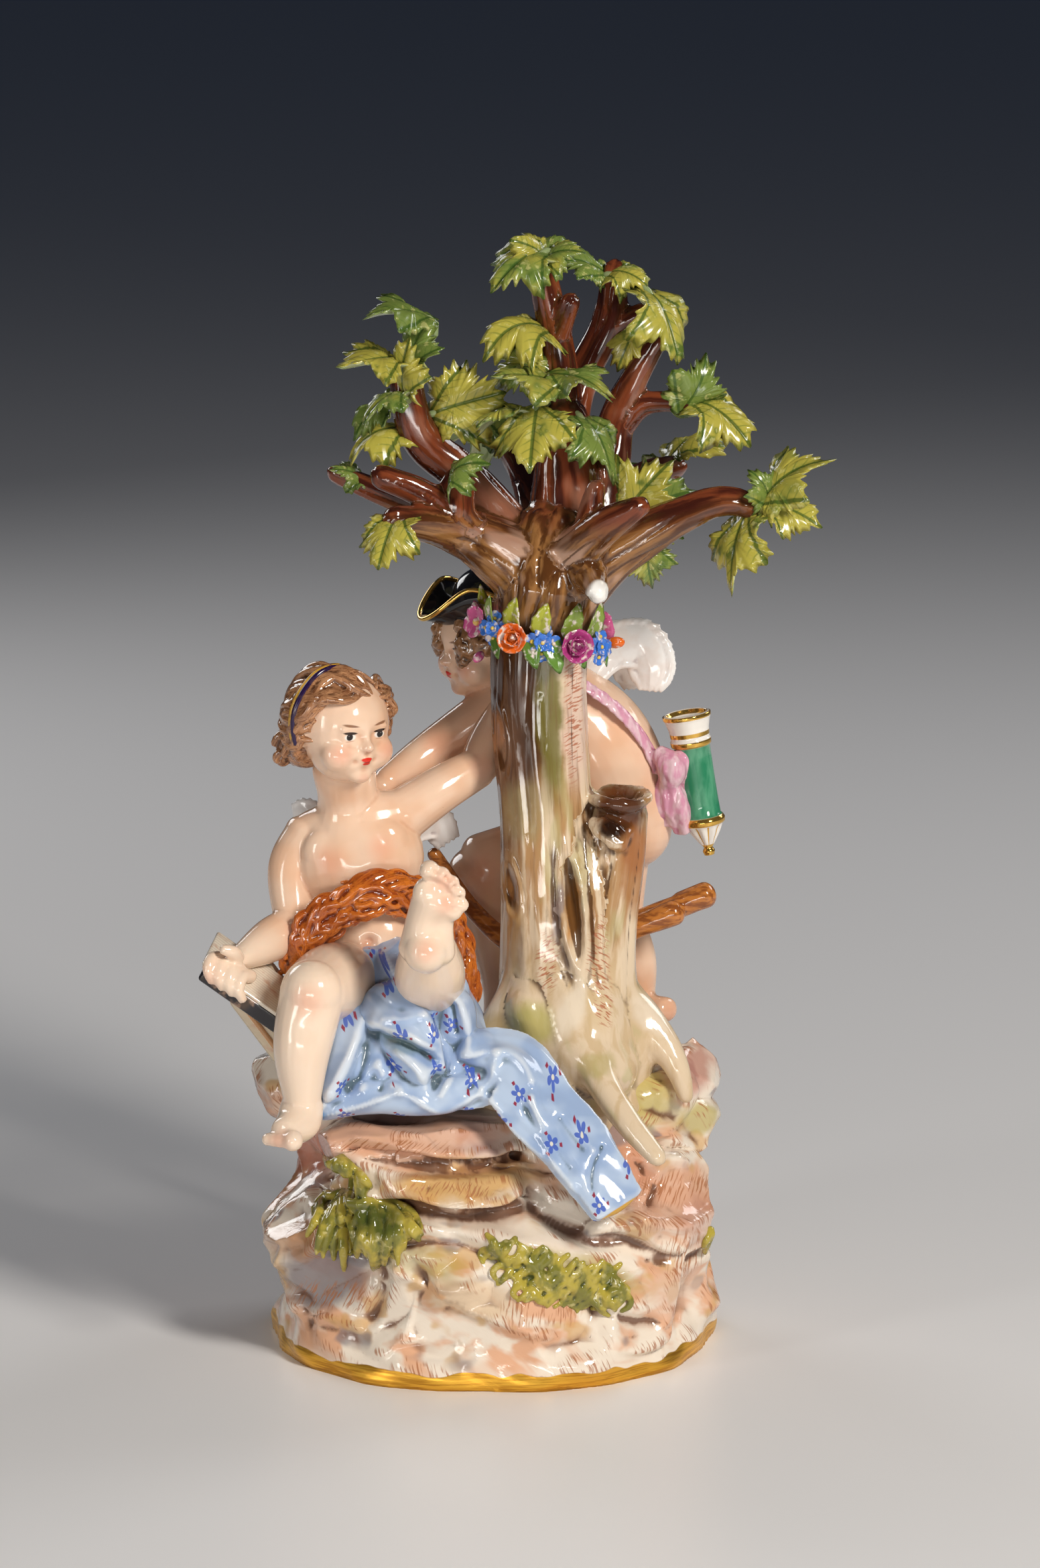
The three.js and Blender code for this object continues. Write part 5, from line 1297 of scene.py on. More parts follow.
def painted_face(glaze, tone, centre, radius, nod, turned):
    """Paints blushed cheeks, brows, eyes with a painted highlight in each, and a mouth."""
    face = glaze.over((radius,) * 3, (nod, 0, turned), shift=centre)

    def layer(tone, colour, share, spots):
        masks = [glaze.near((x, -out, z), size, soft, squash, (0, tilt, 0), face)
                 for x, out, z, size, soft, squash, tilt in spots]
        return glaze.brush(tone, glaze.most(masks), share, colour)

    def both(x, out, z, size, soft, squash, tilt=0):
        return [(side * x, out, z, size, soft, squash, side * tilt) for side in (-1, 1)]

    tone = layer(tone, (0.80, 0.26, 0.16), 0.62, both(0.50, 0.74, -0.36, 0.36, 0.9, (1, 1, 0.85)))
    tone = layer(tone, (0.78, 0.32, 0.22), 0.35, [(0, 1.02, -0.22, 0.16, 0.9, (1, 1, 1), 0),
                                                  (0, 0.86, -0.85, 0.2, 0.9, (1, 1, 0.7), 0)])
    tone = layer(tone, (0.20, 0.07, 0.025), 0.85, both(0.35, 0.93, 0.235, 0.22, 0.5, (1, 1, 0.16), -8))
    tone = layer(tone, (0.86, 0.83, 0.78), 0.9, both(0.34, 0.92, 0.0, 0.145, 0.3, (1, 1.6, 0.55)))
    tone = layer(tone, (0.012, 0.006, 0.004), 1.0, both(0.35, 0.93, 0.004, 0.085, 0.2, (1, 2, 1)))
    tone = layer(tone, (0.03, 0.012, 0.006), 1.0, both(0.34, 0.93, 0.080, 0.18, 0.3, (1, 1.5, 0.20), -4))
    tone = layer(tone, (0.45, 0.18, 0.10), 0.55, both(0.34, 0.93, -0.085, 0.13, 0.5, (1, 1.5, 0.14), 6))
    # a painted highlight: a tiny white dot in each eye
    tone = layer(tone, (0.90, 0.90, 0.88), 0.95, both(0.37, 0.95, 0.03, 0.022, 0.3, (1, 4, 1)))
    tone = layer(tone, (0.72, 0.035, 0.02), 1.0, [(0, 1.03, -0.46, 0.16, 0.3, (1, 1, 0.34), 0),
                                                  (0, 1.03, -0.555, 0.125, 0.3, (1, 1, 0.50), 0)])
    tone = layer(tone, (0.30, 0.03, 0.02), 0.85, [(0, 1.04, -0.507, 0.15, 0.4, (1, 1, 0.09), 0)])
    return layer(tone, (0.45, 0.12, 0.06), 0.7, both(0.055, 1.04, -0.275, 0.03, 0.5, (1, 1.5, 0.7)))


HEAD, TURNED, NOD = (-37.5, -12, 160), 34, 4
HEAD_RADIUS = 12.6
CHILD_FACE = (HEAD, HEAD_RADIUS, NOD, TURNED)
CHEST, HIPS = (-33.5, -5.5, 125), (-28, -5, 93)
R_SHOULDER, R_ELBOW, R_WRIST = (-45.5, -3, 130.5), (-49.6, -10, 109), (-62.5, -26, 104)
R_HAND = (-67, -29.5, 102.6)
L_SHOULDER, L_ELBOW, L_WRIST = (-22, -3, 136), (-3.5, 4, 146.5), (2, 11, 160)
R_KNEE, R_CALF, R_ANKLE = (-44, -40, 98.5), (-46.6, -44, 84), (-46.6, -43.5, 71)
L_KNEE = (-15.5, -27, 98)
KNEEWARD = (1, 0, 0)

lumps = [
    ball(HIPS, (16, 13, 14)), ball((-31, -6, 108), (14.2, 11.5, 12.5), (0, -6, 0)),
    ball((-30, -9, 106), (12.4, 9.4, 10)), ball(CHEST, (16.6, 10.6, 15), (0, -14, 0)),
    ball((-39.6, -10.2, 127.5), (8, 4.2, 7)), ball((-28, -10, 130), (7.4, 4.2, 6.8)),
    bar([R_SHOULDER, shifted(CHEST, 0, 0.5, 9), L_SHOULDER], [6.2, 8, 6.2]),
    bar([(-35.6, -4, 131), (-36, -5.4, 140), (-37, -9, 149)], [11.4, 7.8, 8]),
    # right arm and the hand on the book
    bar([R_SHOULDER, shifted(R_ELBOW, -0.8, 5, 13), R_ELBOW], [6.8, 6, 5], up=(0.3, -1, 0.5)),
    bar([R_ELBOW, shifted(R_WRIST, 7, 9, 2.4), R_WRIST], [5.2, 5.5, 3.2]),
    ball(R_HAND, (4.6, 4.2, 3.2), (0, 0, 40)),
    # left arm against the trunk
    bar([L_SHOULDER, (-13.5, -1, 141.5), L_ELBOW], [6.8, 6, 5.2], up=(-0.6, -1, 0.3)),
    bar([L_ELBOW, (-1, 8, 153), L_WRIST], [5.2, 4.8, 3.4]),
    # right leg
    bar([(-33, -6, 91), (-39, -24, 97), R_KNEE], [11.4, 10.4, 8.4], up=KNEEWARD),
    ball(shifted(R_KNEE, 0, -1.6, 0.6), (7.6, 7.4, 7.8)),
    bar([R_KNEE, shifted(R_CALF, 0, 1.2, 1), R_ANKLE], [8.2, 7.2, 4.4], up=KNEEWARD),
    bar([shifted(R_ANKLE, 0, 1, 0), shifted(R_ANKLE, -1, -2, -4), (-50.4, -51.4, 66)], [4.6, 4.9, 3.6],
        flat=1.15),
    # left leg, its sole to the front
    bar([(-25, -8, 92), (-19, -20, 94), L_KNEE], [11.6, 10.6, 9], up=KNEEWARD),
    bar([L_KNEE, (-15.2, -38, 104), (-15.4, -46, 110.5)], [9, 8.6, 7], up=KNEEWARD),
    bar([(-15.8, -48.4, 111), (-15, -49.6, 118.4), (-13.4, -51, 124.4)], [6.4, 5.4, 5.4], flat=1.1,
        up=(0, -1, 0)),
    ball((-16, -51.6, 111.4), (5.4, 5.2, 5.4)), ball((-14.6, -52.4, 126), (4.6, 3.4, 4.6)),
    ball((-10.4, -52, 122.6), (3.8, 3.2, 4)), ball((-16.4, -50, 119), (3, 3.4, 6)),
]
for i in range(4):
    start = (-69.6 + 2.5 * i, -33.0 - 0.3 * i, 104.4 - 1.5 * i)
    finger = [shifted(start, 2.4, 4, 0.4), shifted(start, 0.4, 0.6, 0.8),
              shifted(start, -0.4, -1.4, -1.6), shifted(start, 0.6, -0.8, -4.6)]
    lumps.append(bar(finger, [1.8, 1.7, 1.6, 1.2], columns=12, rows=20))
lumps.append(bar([(-63, -30, 105), (-64, -32.6, 107), (-66.4, -34, 108)], [2, 1.8, 1.3], columns=12,
                 rows=20))
for i, size in enumerate((2.6, 2.0, 1.9, 1.75, 1.6)):
    share = i / 4
    lumps.append(ball((-48.6 - 6.2 * share, -55.4 + 3.0 * share, 64.8 - 0.4 * share),
                      (size, size * 1.2, size)))
SOLE_TOES = [(-15.0, -54.2, 132.2, 2.5), (-12.0, -54.0, 131.0, 2.1), (-9.6, -53.6, 128.9, 2.0),
             (-8.0, -53.0, 126.2, 1.9), (-7.2, -52.4, 123.2, 1.8)]
lumps += [ball((x, y, z), (size, size * 1.1, size)) for x, y, z, size in SOLE_TOES]
lumps.append(fuse("head", childs_head(*CHILD_FACE), 0.4, rounds=9))
child = fuse("child", lumps, 0.5, rounds=3)
creases = [(np.array((-30.6, -18.2, 106.4)), 1.5, 1.5), (np.array((-33.8, -16.4, 129)), 2.6, 0.5),
           (np.array((-12.6, -55, 117.6)), 3.4, 1.5),
           (np.array((-40.6, -16.4, 117)), 2.4, 0.5), (np.array((-44.6, -49, 91)), 3, 0.5)]
for first, last in zip(SOLE_TOES, SOLE_TOES[1:]):
    between = (np.array(first[:3]) + np.array(last[:3])) / 2
    creases += [(between + (0, -1.6, 0.6), 0.8, 1.5), (between + (-1.4, -2.4, -2.0), 1.2, 0.9)]
sculpt(child, press_in(creases + face_dents(*CHILD_FACE)))
mark_hollows(child, rounds=5, depth=0.3)
thin(child, 100000)

flesh = Glaze("Flesh glaze", roughness=0.12)
skin_tone = flesh_tone(flesh)
# painted light: the shins, knees and feet, low and at the front, are brushed a paler cream
lit_legs = flesh.step(flesh.plus(flesh.axis("Z"), flesh.times(flesh.axis("Y"), 0.9)), 98, 78)
skin_tone = flesh.brush(skin_tone, lit_legs, 0.75, (0.88, 0.72, 0.57))
blushes = [((-49, -16.5, 107.4), 6), ((-45, -48.6, 98), 6.5), ((-41, -16, 126), 6.4),
           ((-27.4, -16, 130), 5.4), ((-52, -56, 65), 5), ((-11.5, -55, 129), 5.4),
           ((-11, -55, 124), 4.4), ((-16, -56, 112.4), 4.6), ((-70, -33, 101), 6),
           ((-30.6, -19, 106), 4), ((-3, 0, 147), 5)]
blush = flesh.most([flesh.near(spot, size, 0.95) for spot, size in blushes])
skin_tone = flesh.brush(skin_tone, blush, 0.42, (0.80, 0.29, 0.16))
flesh.paint(painted_face(flesh, skin_tone, *CHILD_FACE))
flesh.glow()
hand_over(child, flesh)

# The child's hair
# Wavy locks combed from the crown into a low knot of curls, painted with brown strokes.
def swept(centre, radius, nod, turned, start, finish, size, seed, rise=(1.0, 1.12, 1.04), wave=0.05,
          knots=9):
    """A lock that runs over a skull between two directions, in soft waves."""
    draw = random.Random(seed)
    start, finish = Vector(start).normalized(), Vector(finish).normalized()
    across = start.cross(finish).normalized()
    phase, swing = draw.uniform(0, 6), wave * draw.uniform(0.6, 1.3)
    route = []
    for step in range(knots):
        share = step / (knots - 1)
        way = start.slerp(finish, share) if start.angle(finish) > 0.01 else start
        way = (way + across * swing * math.sin(10 * share + phase)).normalized()
        lift = np.interp(share, (0, 0.3, 1), rise) + 0.02 * math.sin(12 * share + phase)
        place = on_head(centre, radius, nod, turned, way.x * lift * 0.96, way.y * lift - 0.02,
                        way.z * lift + 0.10)
        route.append((*place, size * np.interp(share, (0, 0.15, 0.6, 1), (0.45, 1, 1.1, 0.7))))
    return route


# directions from the middle of the head: side, out of the face, up
NAPE = (-0.42, -0.62, -0.62)
draw = random.Random(12)
locks = []
for i in range(34):
    around = math.radians(-118 + 236 * (i + draw.uniform(-0.2, 0.2)) / 33)
    edge = (math.sin(around) * 0.96, 0.60 + 0.18 * math.cos(around) - 0.34 * abs(math.sin(around)),
            0.62 * math.cos(around) + 0.18)
    side = -1 if around < 0.5 else 1
    end = (NAPE[0] * draw.uniform(0.4, 1.6) * (1 if side < 0 else -0.3), NAPE[1],
           NAPE[2] * draw.uniform(0.6, 1.1))
    locks.append(swept(*CHILD_FACE, edge, end, 1.1, i, (0.98, 1.19, 1.05), 0.15))
    edge = (edge[0], edge[1] - 0.10, edge[2] + 0.06)
    locks.append(swept(*CHILD_FACE, edge, end, 1.0, 40 + i, (1.02, 1.23, 1.08), 0.17))
for i in range(26):
    around = math.radians(-100 + 200 * i / 25)
    start = (math.sin(around) * 0.9, -0.02 - 0.1 * abs(math.sin(around)), math.cos(around) * 0.95 + 0.1)
    end = (NAPE[0] + 0.5 * math.sin(around), NAPE[1], NAPE[2])
    locks.append(swept(*CHILD_FACE, start, end, 1.25, 90 + i, (1.02, 1.09, 1.04), 0.03))
# curls at the nape and behind the ear
for i in range(22):
    angle = draw.uniform(0, 6.28)
    side = -0.62 + 0.34 * math.cos(angle) * draw.uniform(0.3, 1)
    out, rise = -0.42 + 0.30 * math.sin(angle), -0.52 + draw.uniform(-0.28, 0.30)
    turn, size = draw.uniform(0, 6.28), draw.uniform(0.10, 0.17)
    locks.append([(*on_head(*CHILD_FACE, side + size * math.cos(turn + k) - 0.05 * k,
                            out + 0.5 * size * math.sin(turn + k), rise + size * math.sin(turn + k)),
                   1.3 - 0.08 * k)
                  for k in range(5)])
lumps = [bars(locks, fineness=5)]
lumps.append(ball(on_head(*CHILD_FACE, 0, -0.16, 0.20),
                  tuple(s * HEAD_RADIUS for s in (0.98, 0.92, 0.96)), (0, 0, TURNED)))
lumps.append(ball(on_head(*CHILD_FACE, -0.5, -0.5, -0.45), 0.46 * HEAD_RADIUS))
child_hair = fuse("child_hair", lumps, 0.36, rounds=0)
mark_hollows(child_hair, rounds=4, depth=0.3)
thin(child_hair, 90000)
store(child_hair, "grain", grain_of(points_of(child_hair)[0], locks, samples=9))


def hair_glaze(name, light, dark, fleck=0.3):
    glaze = Glaze(name, roughness=0.11, coat=0.4)
    grain = glaze.kept("grain", "Vector")
    stroke = glaze.mottle((0.34, 0.34, 7), detail=2, source=grain)
    cloud = glaze.mottle((6, 6, 6), detail=2)
    tone = glaze.mix(glaze.step(cloud, 0.40, 0.62), light,
                     tuple(0.55 * a + 0.45 * b for a, b in zip(light, dark)))
    tone = glaze.brush(tone, glaze.step(stroke, 0.48, 0.60), fleck, dark)
    # painted shade: darker still in the hollows between the locks
    tone = glaze.brush(tone, glaze.step(glaze.kept(), 0.50, 0.72), 0.9, tuple(0.5 * c for c in dark))
    # painted highlight: paler on the ridges of the locks
    tone = glaze.brush(tone, glaze.step(glaze.kept(), 0.40, 0.10), 0.55,
                       tuple(min(0.82, 1.3 * c + 0.05) for c in light))
    glaze.paint(tone)
    return glaze


child_brown = hair_glaze("Light brown hair glaze", (0.50, 0.25, 0.12), (0.13, 0.04, 0.014), 0.8)
hand_over(child_hair, child_brown)

# The fillet
# A narrow band round the child's hair, gold above and dark blue below.
fillet_parts = []
for shift, colour in ((-0.045, (0.62, 0.34, 0.05)), (0.045, (0.02, 0.008, 0.05))):
    route = []
    for step in range(13):
        angle = math.radians(-106 + 98 * step / 12)
        lift = np.interp(angle, (-1.85, -1.3, -0.5, -0.12), (1.16, 1.25, 1.29, 1.20))
        route.append(on_head(*CHILD_FACE, lift * 0.97 * math.sin(angle),
                             0.14 + shift - 0.10 * (1 - math.cos(angle)), lift * math.cos(angle) + 0.08))
    fillet_parts.append(tinted(bar(route, [0.6, 0.75, 0.75, 0.5], columns=10, rows=60), colour))
fillet = as_one("fillet", fillet_parts)
band = Glaze("Fillet glaze", roughness=0.12)
tint = band.kept("tint", "Vector")
band.paint(band.brush(tint, band.step(band.mottle((2, 2, 2)), 0.5, 0.7), 0.4, (0.10, 0.06, 0.04)))
hand_over(fillet, band)

# The drape
# A cloth of pale blue over the lap, pulled up under the calf and spread on the rock, with a tail
# that falls to the right. Painted with small scattered flowers.
def skirt():
    """The smooth spread of the cloth from the waist to the ledge, before it is folded."""
    def skin(angle, along):
        down = np.clip((1 - along - 0.08) / 0.84, 0, 1)
        inside = np.minimum(1, np.minimum(along, 1 - along) / 0.08)
        spread = 0.25 * down + 0.75 * np.sin(down * math.pi / 2)
        wide = (14 + 11 * spread) * inside
        deep = (9 + 19.6 * spread) * inside
        return (-28 + 8 * down + wide * np.cos(angle), -12 - 3 * down + deep * np.sin(angle),
                105 - 35 * down)

    return wrapped(140, 50, skin)


TAIL = [(-8, -36, 76), (4, -38, 79), (13, -43, 69), (22, -48, 60), (31, -53, 48)]
# Folds seen from the front: points across and up, then height and width. A negative height is a
# hollow between folds.
FOLDS = [
    ([(-43, 101), (-37.5, 95), (-32, 85.8), (-27, 81.2), (-19.5, 79.2), (-14, 74.8), (-10.6, 71.4)],
     2.0, 1.7),
    ([(-28.8, 104.4), (-24, 95.8), (-17.4, 86.6), (-14, 81), (-10.8, 75.4), (-9.6, 72), (-12.4, 65.4)],
     2.0, 1.7),
    ([(-27.4, 84), (-21, 84.6), (-16.4, 85.2)], 0.9, 1.3),
    ([(-32, 85.6), (-34, 77.4), (-37.4, 69.8), (-42.2, 61)], 1.9, 1.7),
    ([(-28, 73), (-25.6, 68.8), (-22, 66.4)], 1.5, 1.6),
    ([(-27.4, 74), (-30.4, 71), (-32, 66.4)], 1.3, 1.5),
    ([(-24, 77.2), (-18.4, 71.6), (-15.4, 66.8)], 1.3, 1.5),
    ([(-12, 89.6), (-9, 89), (-6.4, 84), (-5.6, 78), (-7, 74.8)], 1.8, 1.5),
    ([(-15, 86), (-11.6, 89.4)], 1.3, 1.5),
    ([(-7.6, 74.4), (2, 76.4), (7.4, 73.6), (10.4, 67.4)], 1.7, 1.6),
    ([(1.6, 76), (0.2, 71), (-3, 66.4)], 1.4, 1.5),
    ([(9.6, 66), (11, 60), (15, 50), (20.4, 41.4)], 1.2, 1.5),
    ([(13, 64.8), (19.6, 57.6), (27, 50)], 0.9, 1.4),
    ([(-44.6, 59), (-32.4, 62.4), (-22, 65.4), (-13.4, 60.9), (-7.4, 62.8), (-2.8, 65.2), (2.6, 61.4)],
     0.9, 1.1),
    ([(-28.6, 80.8), (-24.8, 79), (-20, 77.2), (-13.4, 74)], -3.2, 1.7),
    ([(-35, 93), (-30.4, 84)], -1.4, 1.5),
    ([(-16.8, 75.4), (-13, 72), (-14.4, 66.4)], -2.2, 1.7), ([(-9.4, 88), (-8.6, 80)], -1.6, 1.1),
    ([(-31.4, 78), (-33.4, 71), (-36, 66)], -1.6, 1.6), ([(-6.6, 72), (-1.6, 70), (-6, 66)], -1.6, 1.5),
    ([(8, 62.4), (13.4, 54), (20, 46)], -1.2, 1.4), ([(16.4, 60), (23, 51)], -1.0, 1.3),
    ([(-33.4, 97), (-27, 88.6), (-21.6, 86)], -1.0, 1.6), ([(-25.4, 69.4), (-27.6, 66)], -1.2, 1.2),
    ([(27.4, 53), (25, 47), (24.6, 41)], -0.9, 0.8),
]


def folded(place, outward):
    """Raises the folds and sinks the hollows of the cloth where they lie in the front view."""
    total = creased(place, FOLDS)
    facing = np.clip(-outward[:, 1] * 2.2 + 0.3, 0, 1) * np.clip((-18 - place[:, 1]) / 6, 0, 1)
    side = 0.8 * -np.abs(rough(place * (1, 1, 0.3), 8, 3, 2)) + 0.3
    way = outward * 0.35 + np.array([0, -0.65, 0])
    return place + way * (total * facing)[:, None] + outward * (side * (1 - 0.7 * facing))[:, None]


def tail_folds(angle, along):
    return 1 + 0.10 * np.sin(4 * angle + 5 * along) + 0.04 * np.sin(9 * angle - 9 * along)


lumps = [
    skirt(),
    bar([(-27, -9, 95), (-20, -20, 96), (-15.5, -28, 93)], [11.5, 11.4, 11], up=KNEEWARD),
    bar([(-42, -38, 69), (-30, -40, 72), (-16, -41, 72), (-4, -38, 74)], [3.6, 4.2, 4.4, 4], up=(0, 0, 1)),
    bar([(-26, -30, 94), (-20, -37, 86), (-16, -40, 78)], [7, 7, 5], up=KNEEWARD),
    bar([(-36, -28, 92), (-36, -36, 82), (-39, -40, 73)], [5, 5, 4], up=KNEEWARD),
    bar(TAIL, [2.9, 3.3, 3.2, 3.1, 2.8], up=(0.3, -1, 0.6), flat=2.8, relief=tail_folds, columns=60,
        rows=70),
    ball((-8.4, -31, 89.6), (4.6, 5.4, 7.4)), ball((-3, -33, 82), (6, 6, 5.4)),
    ball((4, -35, 77), (6, 6, 5)),
]
drape = fuse("drape", lumps, 0.5, rounds=6)
sculpt(drape, folded)
mark_hollows(drape, rounds=12, depth=0.7)
tail_way = np.subtract(TAIL[-1], TAIL[-2]) / np.linalg.norm(np.subtract(TAIL[-1], TAIL[-2]))
store(drape, "past_end", (points_of(drape)[0] - TAIL[-1]) @ tail_way)
thin(drape, 90000)

cloth = Glaze("Drape glaze", roughness=0.11)
soft = cloth.mottle((12, 12, 9), detail=2)
blue = cloth.mix(cloth.step(soft, 0.38, 0.62), (0.32, 0.43, 0.64), (0.47, 0.58, 0.75))
# painted highlight: near white on the ridges of the folds
blue = cloth.brush(blue, cloth.step(cloth.kept(), 0.42, 0.15), 0.6, (0.80, 0.84, 0.86))
# painted shade: dark in the hollows between the folds
blue = cloth.brush(blue, cloth.step(cloth.kept(), 0.54, 0.84), 0.85, (0.07, 0.11, 0.12))
# painted shade: the dark teal patch lies in the deep hollow of the lap
blue = cloth.washes(blue, cloth.front(1.5, 5), [(-22, 78, 8, 3, -20, (0.10, 0.17, 0.16), 0.5),
                                                (-43, 59.6, 3, 2, 0, (0.06, 0.24, 0.55), 0.8)])
flat_on = cloth.flat(
    cloth.plus(cloth.axis("X"), cloth.times(cloth.axis("Y"), 0.25)),
    cloth.maths("SUBTRACT", cloth.axis("Z"), cloth.times(cloth.axis("Y"), 0.5)))
cells = cloth.node("ShaderNodeTexVoronoi", voronoi_dimensions="2D", feature="F1")
cells.inputs["Scale"].default_value = 1
cells.inputs["Randomness"].default_value = 0.55
spots = cloth.over((9.6, 9.6, 1), source=flat_on)
cloth.feed(cells.inputs["Vector"], spots)
gap = cloth.node("ShaderNodeVectorMath", operation="SUBTRACT")
cloth.feed(gap.inputs[0], spots)
cloth.feed(gap.inputs[1], cells.outputs["Position"])
turn = cloth.maths("ARCTAN2", cloth.axis("Y", gap.outputs[0]), cloth.axis("X", gap.outputs[0]))
lobes = cloth.maths("ABSOLUTE", cloth.maths("SINE", cloth.times(turn, 2.5)))
reach = cloth.plus(cloth.times(lobes, 0.12), 0.07)
petals = cloth.step(cloth.maths("SUBTRACT", cells.outputs["Distance"], reach), 0.012, -0.012)
blue = cloth.brush(blue, petals, 0.9, (0.06, 0.12, 0.50))
blue = cloth.mix(cloth.step(cells.outputs["Distance"], 0.05, 0.035), blue, (0.70, 0.68, 0.60))
dots = cloth.times(cloth.step(cloth.maths("COSINE", cloth.times(turn, 3)), 0.80, 0.95),
                   cloth.times(cloth.step(cells.outputs["Distance"], 0.19, 0.205),
                               cloth.step(cells.outputs["Distance"], 0.275, 0.26)))
blue = cloth.brush(blue, dots, 0.95, (0.28, 0.015, 0.04))
past_end = cloth.kept("past_end")
blue = cloth.mix(cloth.step(past_end, 0.8, 1.1), blue, (0.66, 0.36, 0.04))
cloth.paint(blue)
hand_over(drape, cloth)

# The pelt
# A shaggy orange-brown pelt slung round the waist, its tufts cut with a tool.
PELT = [
    [(-48.4, -15, 95.6), (-46.6, -17.4, 106), (-39, -19, 115), (-29, -19.4, 119), (-19, -14, 117)],
    [(-20, -14, 116), (-12.6, -7, 110), (-8.5, -7, 96), (-9, -9, 82)],
]
draw = random.Random(5)
tufts = []
for band, wide in zip(PELT, (4.2, 3.4)):
    route, ahead = smooth_route([(*p, 1) for p in band], 80)
    for i in range(54):
        lane, first = draw.uniform(-1, 1), draw.randint(0, 50)
        length, phase = draw.randint(16, 34), draw.uniform(0, 6)
        strand = []
        for k in range(8):
            j = min(79, first + length * k // 7)
            place, way = Vector(route[j, :3]), Vector(ahead[j])
            across = way.cross(Vector((0, -1, 0.2))).normalized()
            front = across.cross(way).normalized()
            front = front if front.y < 0 else -front
            drift = lane * wide + 1.2 * math.sin(1.1 * k + phase) + 0.14 * k * (1 if lane > 0 else -1)
            out = 2.9 * math.sqrt(max(0.1, 1 - min(1, abs(lane)) ** 2)) + 0.5 * math.sin(k + 2 * phase)
            strand.append((*(place + across * drift + front * out),
                           (0.4, 0.7, 0.85, 0.9, 0.85, 0.75, 0.6, 0.3)[k]))
        tufts.append(strand)
    for i in range(24):
        j = draw.randint(2, 77)
        place, way = Vector(route[j, :3]), Vector(ahead[j])
        across = way.cross(Vector((0, -1, 0.2))).normalized() * (1 if i % 2 else -1)
        base = place + across * wide * 0.8 + Vector((0, -1, 0))
        tufts.append([(*base, 1.0), (*(base + across * 1.2 + way * 1.5), 0.9),
                      (*(base + across * 1.8 + way * 3.6), 0.35)])
lumps = [bar(band, [1.9, 2.5, 2.7, 2.5, 2.0], flat=1.5, up=(0, -1, 0.2)) for band in PELT]
lumps.append(bars(tufts, fineness=4))
pelt = fuse("pelt", lumps, 0.4, rounds=0)
mark_hollows(pelt, rounds=4, depth=0.3)
thin(pelt, 80000)
store(pelt, "grain", grain_of(points_of(pelt)[0], tufts, samples=8))
shaggy = hair_glaze("Pelt glaze", (0.62, 0.17, 0.02), (0.24, 0.03, 0.008), 0.7)
hand_over(pelt, shaggy)

# The book
# An open book in thick slabs: a raised board over a near-black page block, which is painted shade inside
# the book, and pages lying on the rock.
def slab(long, deep, thick, tilt, centre, bevel=0.5):
    """A board leaned back by 16 degrees and tilted, with softened edges."""
    bpy.ops.mesh.primitive_cube_add(size=MM)
    piece = bpy.context.object
    piece.scale = (long, deep, thick)
    bpy.ops.object.transform_apply(scale=True)
    bpy.ops.object.mode_set(mode="EDIT")
    bpy.ops.mesh.select_all(action="SELECT")
    bpy.ops.mesh.bevel(offset=bevel * MM, segments=3, affect="EDGES")
    bpy.ops.mesh.subdivide(number_cuts=3)
    bpy.ops.object.mode_set(mode="OBJECT")
    turn = Euler((math.radians(16), 0, 0)).to_matrix().to_4x4()
    lean = Euler((0, math.radians(tilt), 0)).to_matrix().to_4x4()
    piece.matrix_world = lean @ turn
    piece.location = Vector(centre) * MM
    return settle(piece)


book_parts = [
    tinted(slab(31.6, 18, 1.1, 36, (-57.2, -26, 97.4)), (0.78, 0.70, 0.58)),
    # painted shade: the page block under the board is near black, for the shade inside the open book
    tinted(slab(30, 16.6, 4.4, 36, (-58.2, -26, 94.9), 0.8), (0.03, 0.028, 0.032)),
    tinted(slab(21, 17.4, 9, 54, (-54.2, -20, 88.4), 1.2), (0.64, 0.53, 0.38)),
    tinted(slab(20.8, 17.8, 1.2, 54, (-57.6, -20.4, 90.8)), (0.72, 0.36, 0.16)),
    tinted(slab(20.8, 17.8, 1.2, 54, (-51.2, -19.6, 85.8)), (0.05, 0.045, 0.05)),
]
book = as_one("book", book_parts)
paper = Glaze("Book glaze", roughness=0.13)
tint = paper.kept("tint", "Vector")
sheets = paper.maths("FRACT", paper.times(paper.axis("Y", paper.over((1, 1, 1), (16, 54, 0))), 0.9))
lined = paper.brush(tint, paper.step(sheets, 0.24, 0.1), 0.35, (0.16, 0.10, 0.05))
paper.paint(paper.mix(paper.step(paper.mottle((4, 4, 4)), 0.55, 0.75), lined, (0.60, 0.38, 0.26)))
hand_over(book, paper)

# The wings
# Short rounded wings, white, with rows of feathers pressed in.
def feathered(route, widths, up, rows=9):
    """A wing of overlapping feathers along a bent route."""
    place, ahead = smooth_route([(*p, w) for p, w in zip(route, widths)], 3 * rows)
    up = Vector(up).normalized()
    parts = [bar(route, [w * 0.34 for w in widths], up=tuple(up), flat=2.5)]
    for i in range(1, 3 * rows):
        middle, wide = Vector(place[i, :3]), place[i, 3]
        way = Vector(ahead[i])
        side = way.cross(up).normalized()
        for lane in (-0.74, -0.37, 0, 0.37, 0.74):
            spot = middle + side * lane * wide + up * wide * 0.20 * (1 - abs(lane))
            root = spot - way * 1.2 - up * 0.6
            tip = spot + way * wide * 0.42 + side * lane * wide * 0.3 - up * 0.3
            parts.append([(*root, 0.9), (*(root.lerp(tip, 0.5) + up * 0.5), wide * 0.15), (*tip, 0.5)])
    routes = [p for p in parts if isinstance(p, list)]
    return [p for p in parts if not isinstance(p, list)] + [bars(routes, fineness=3)]


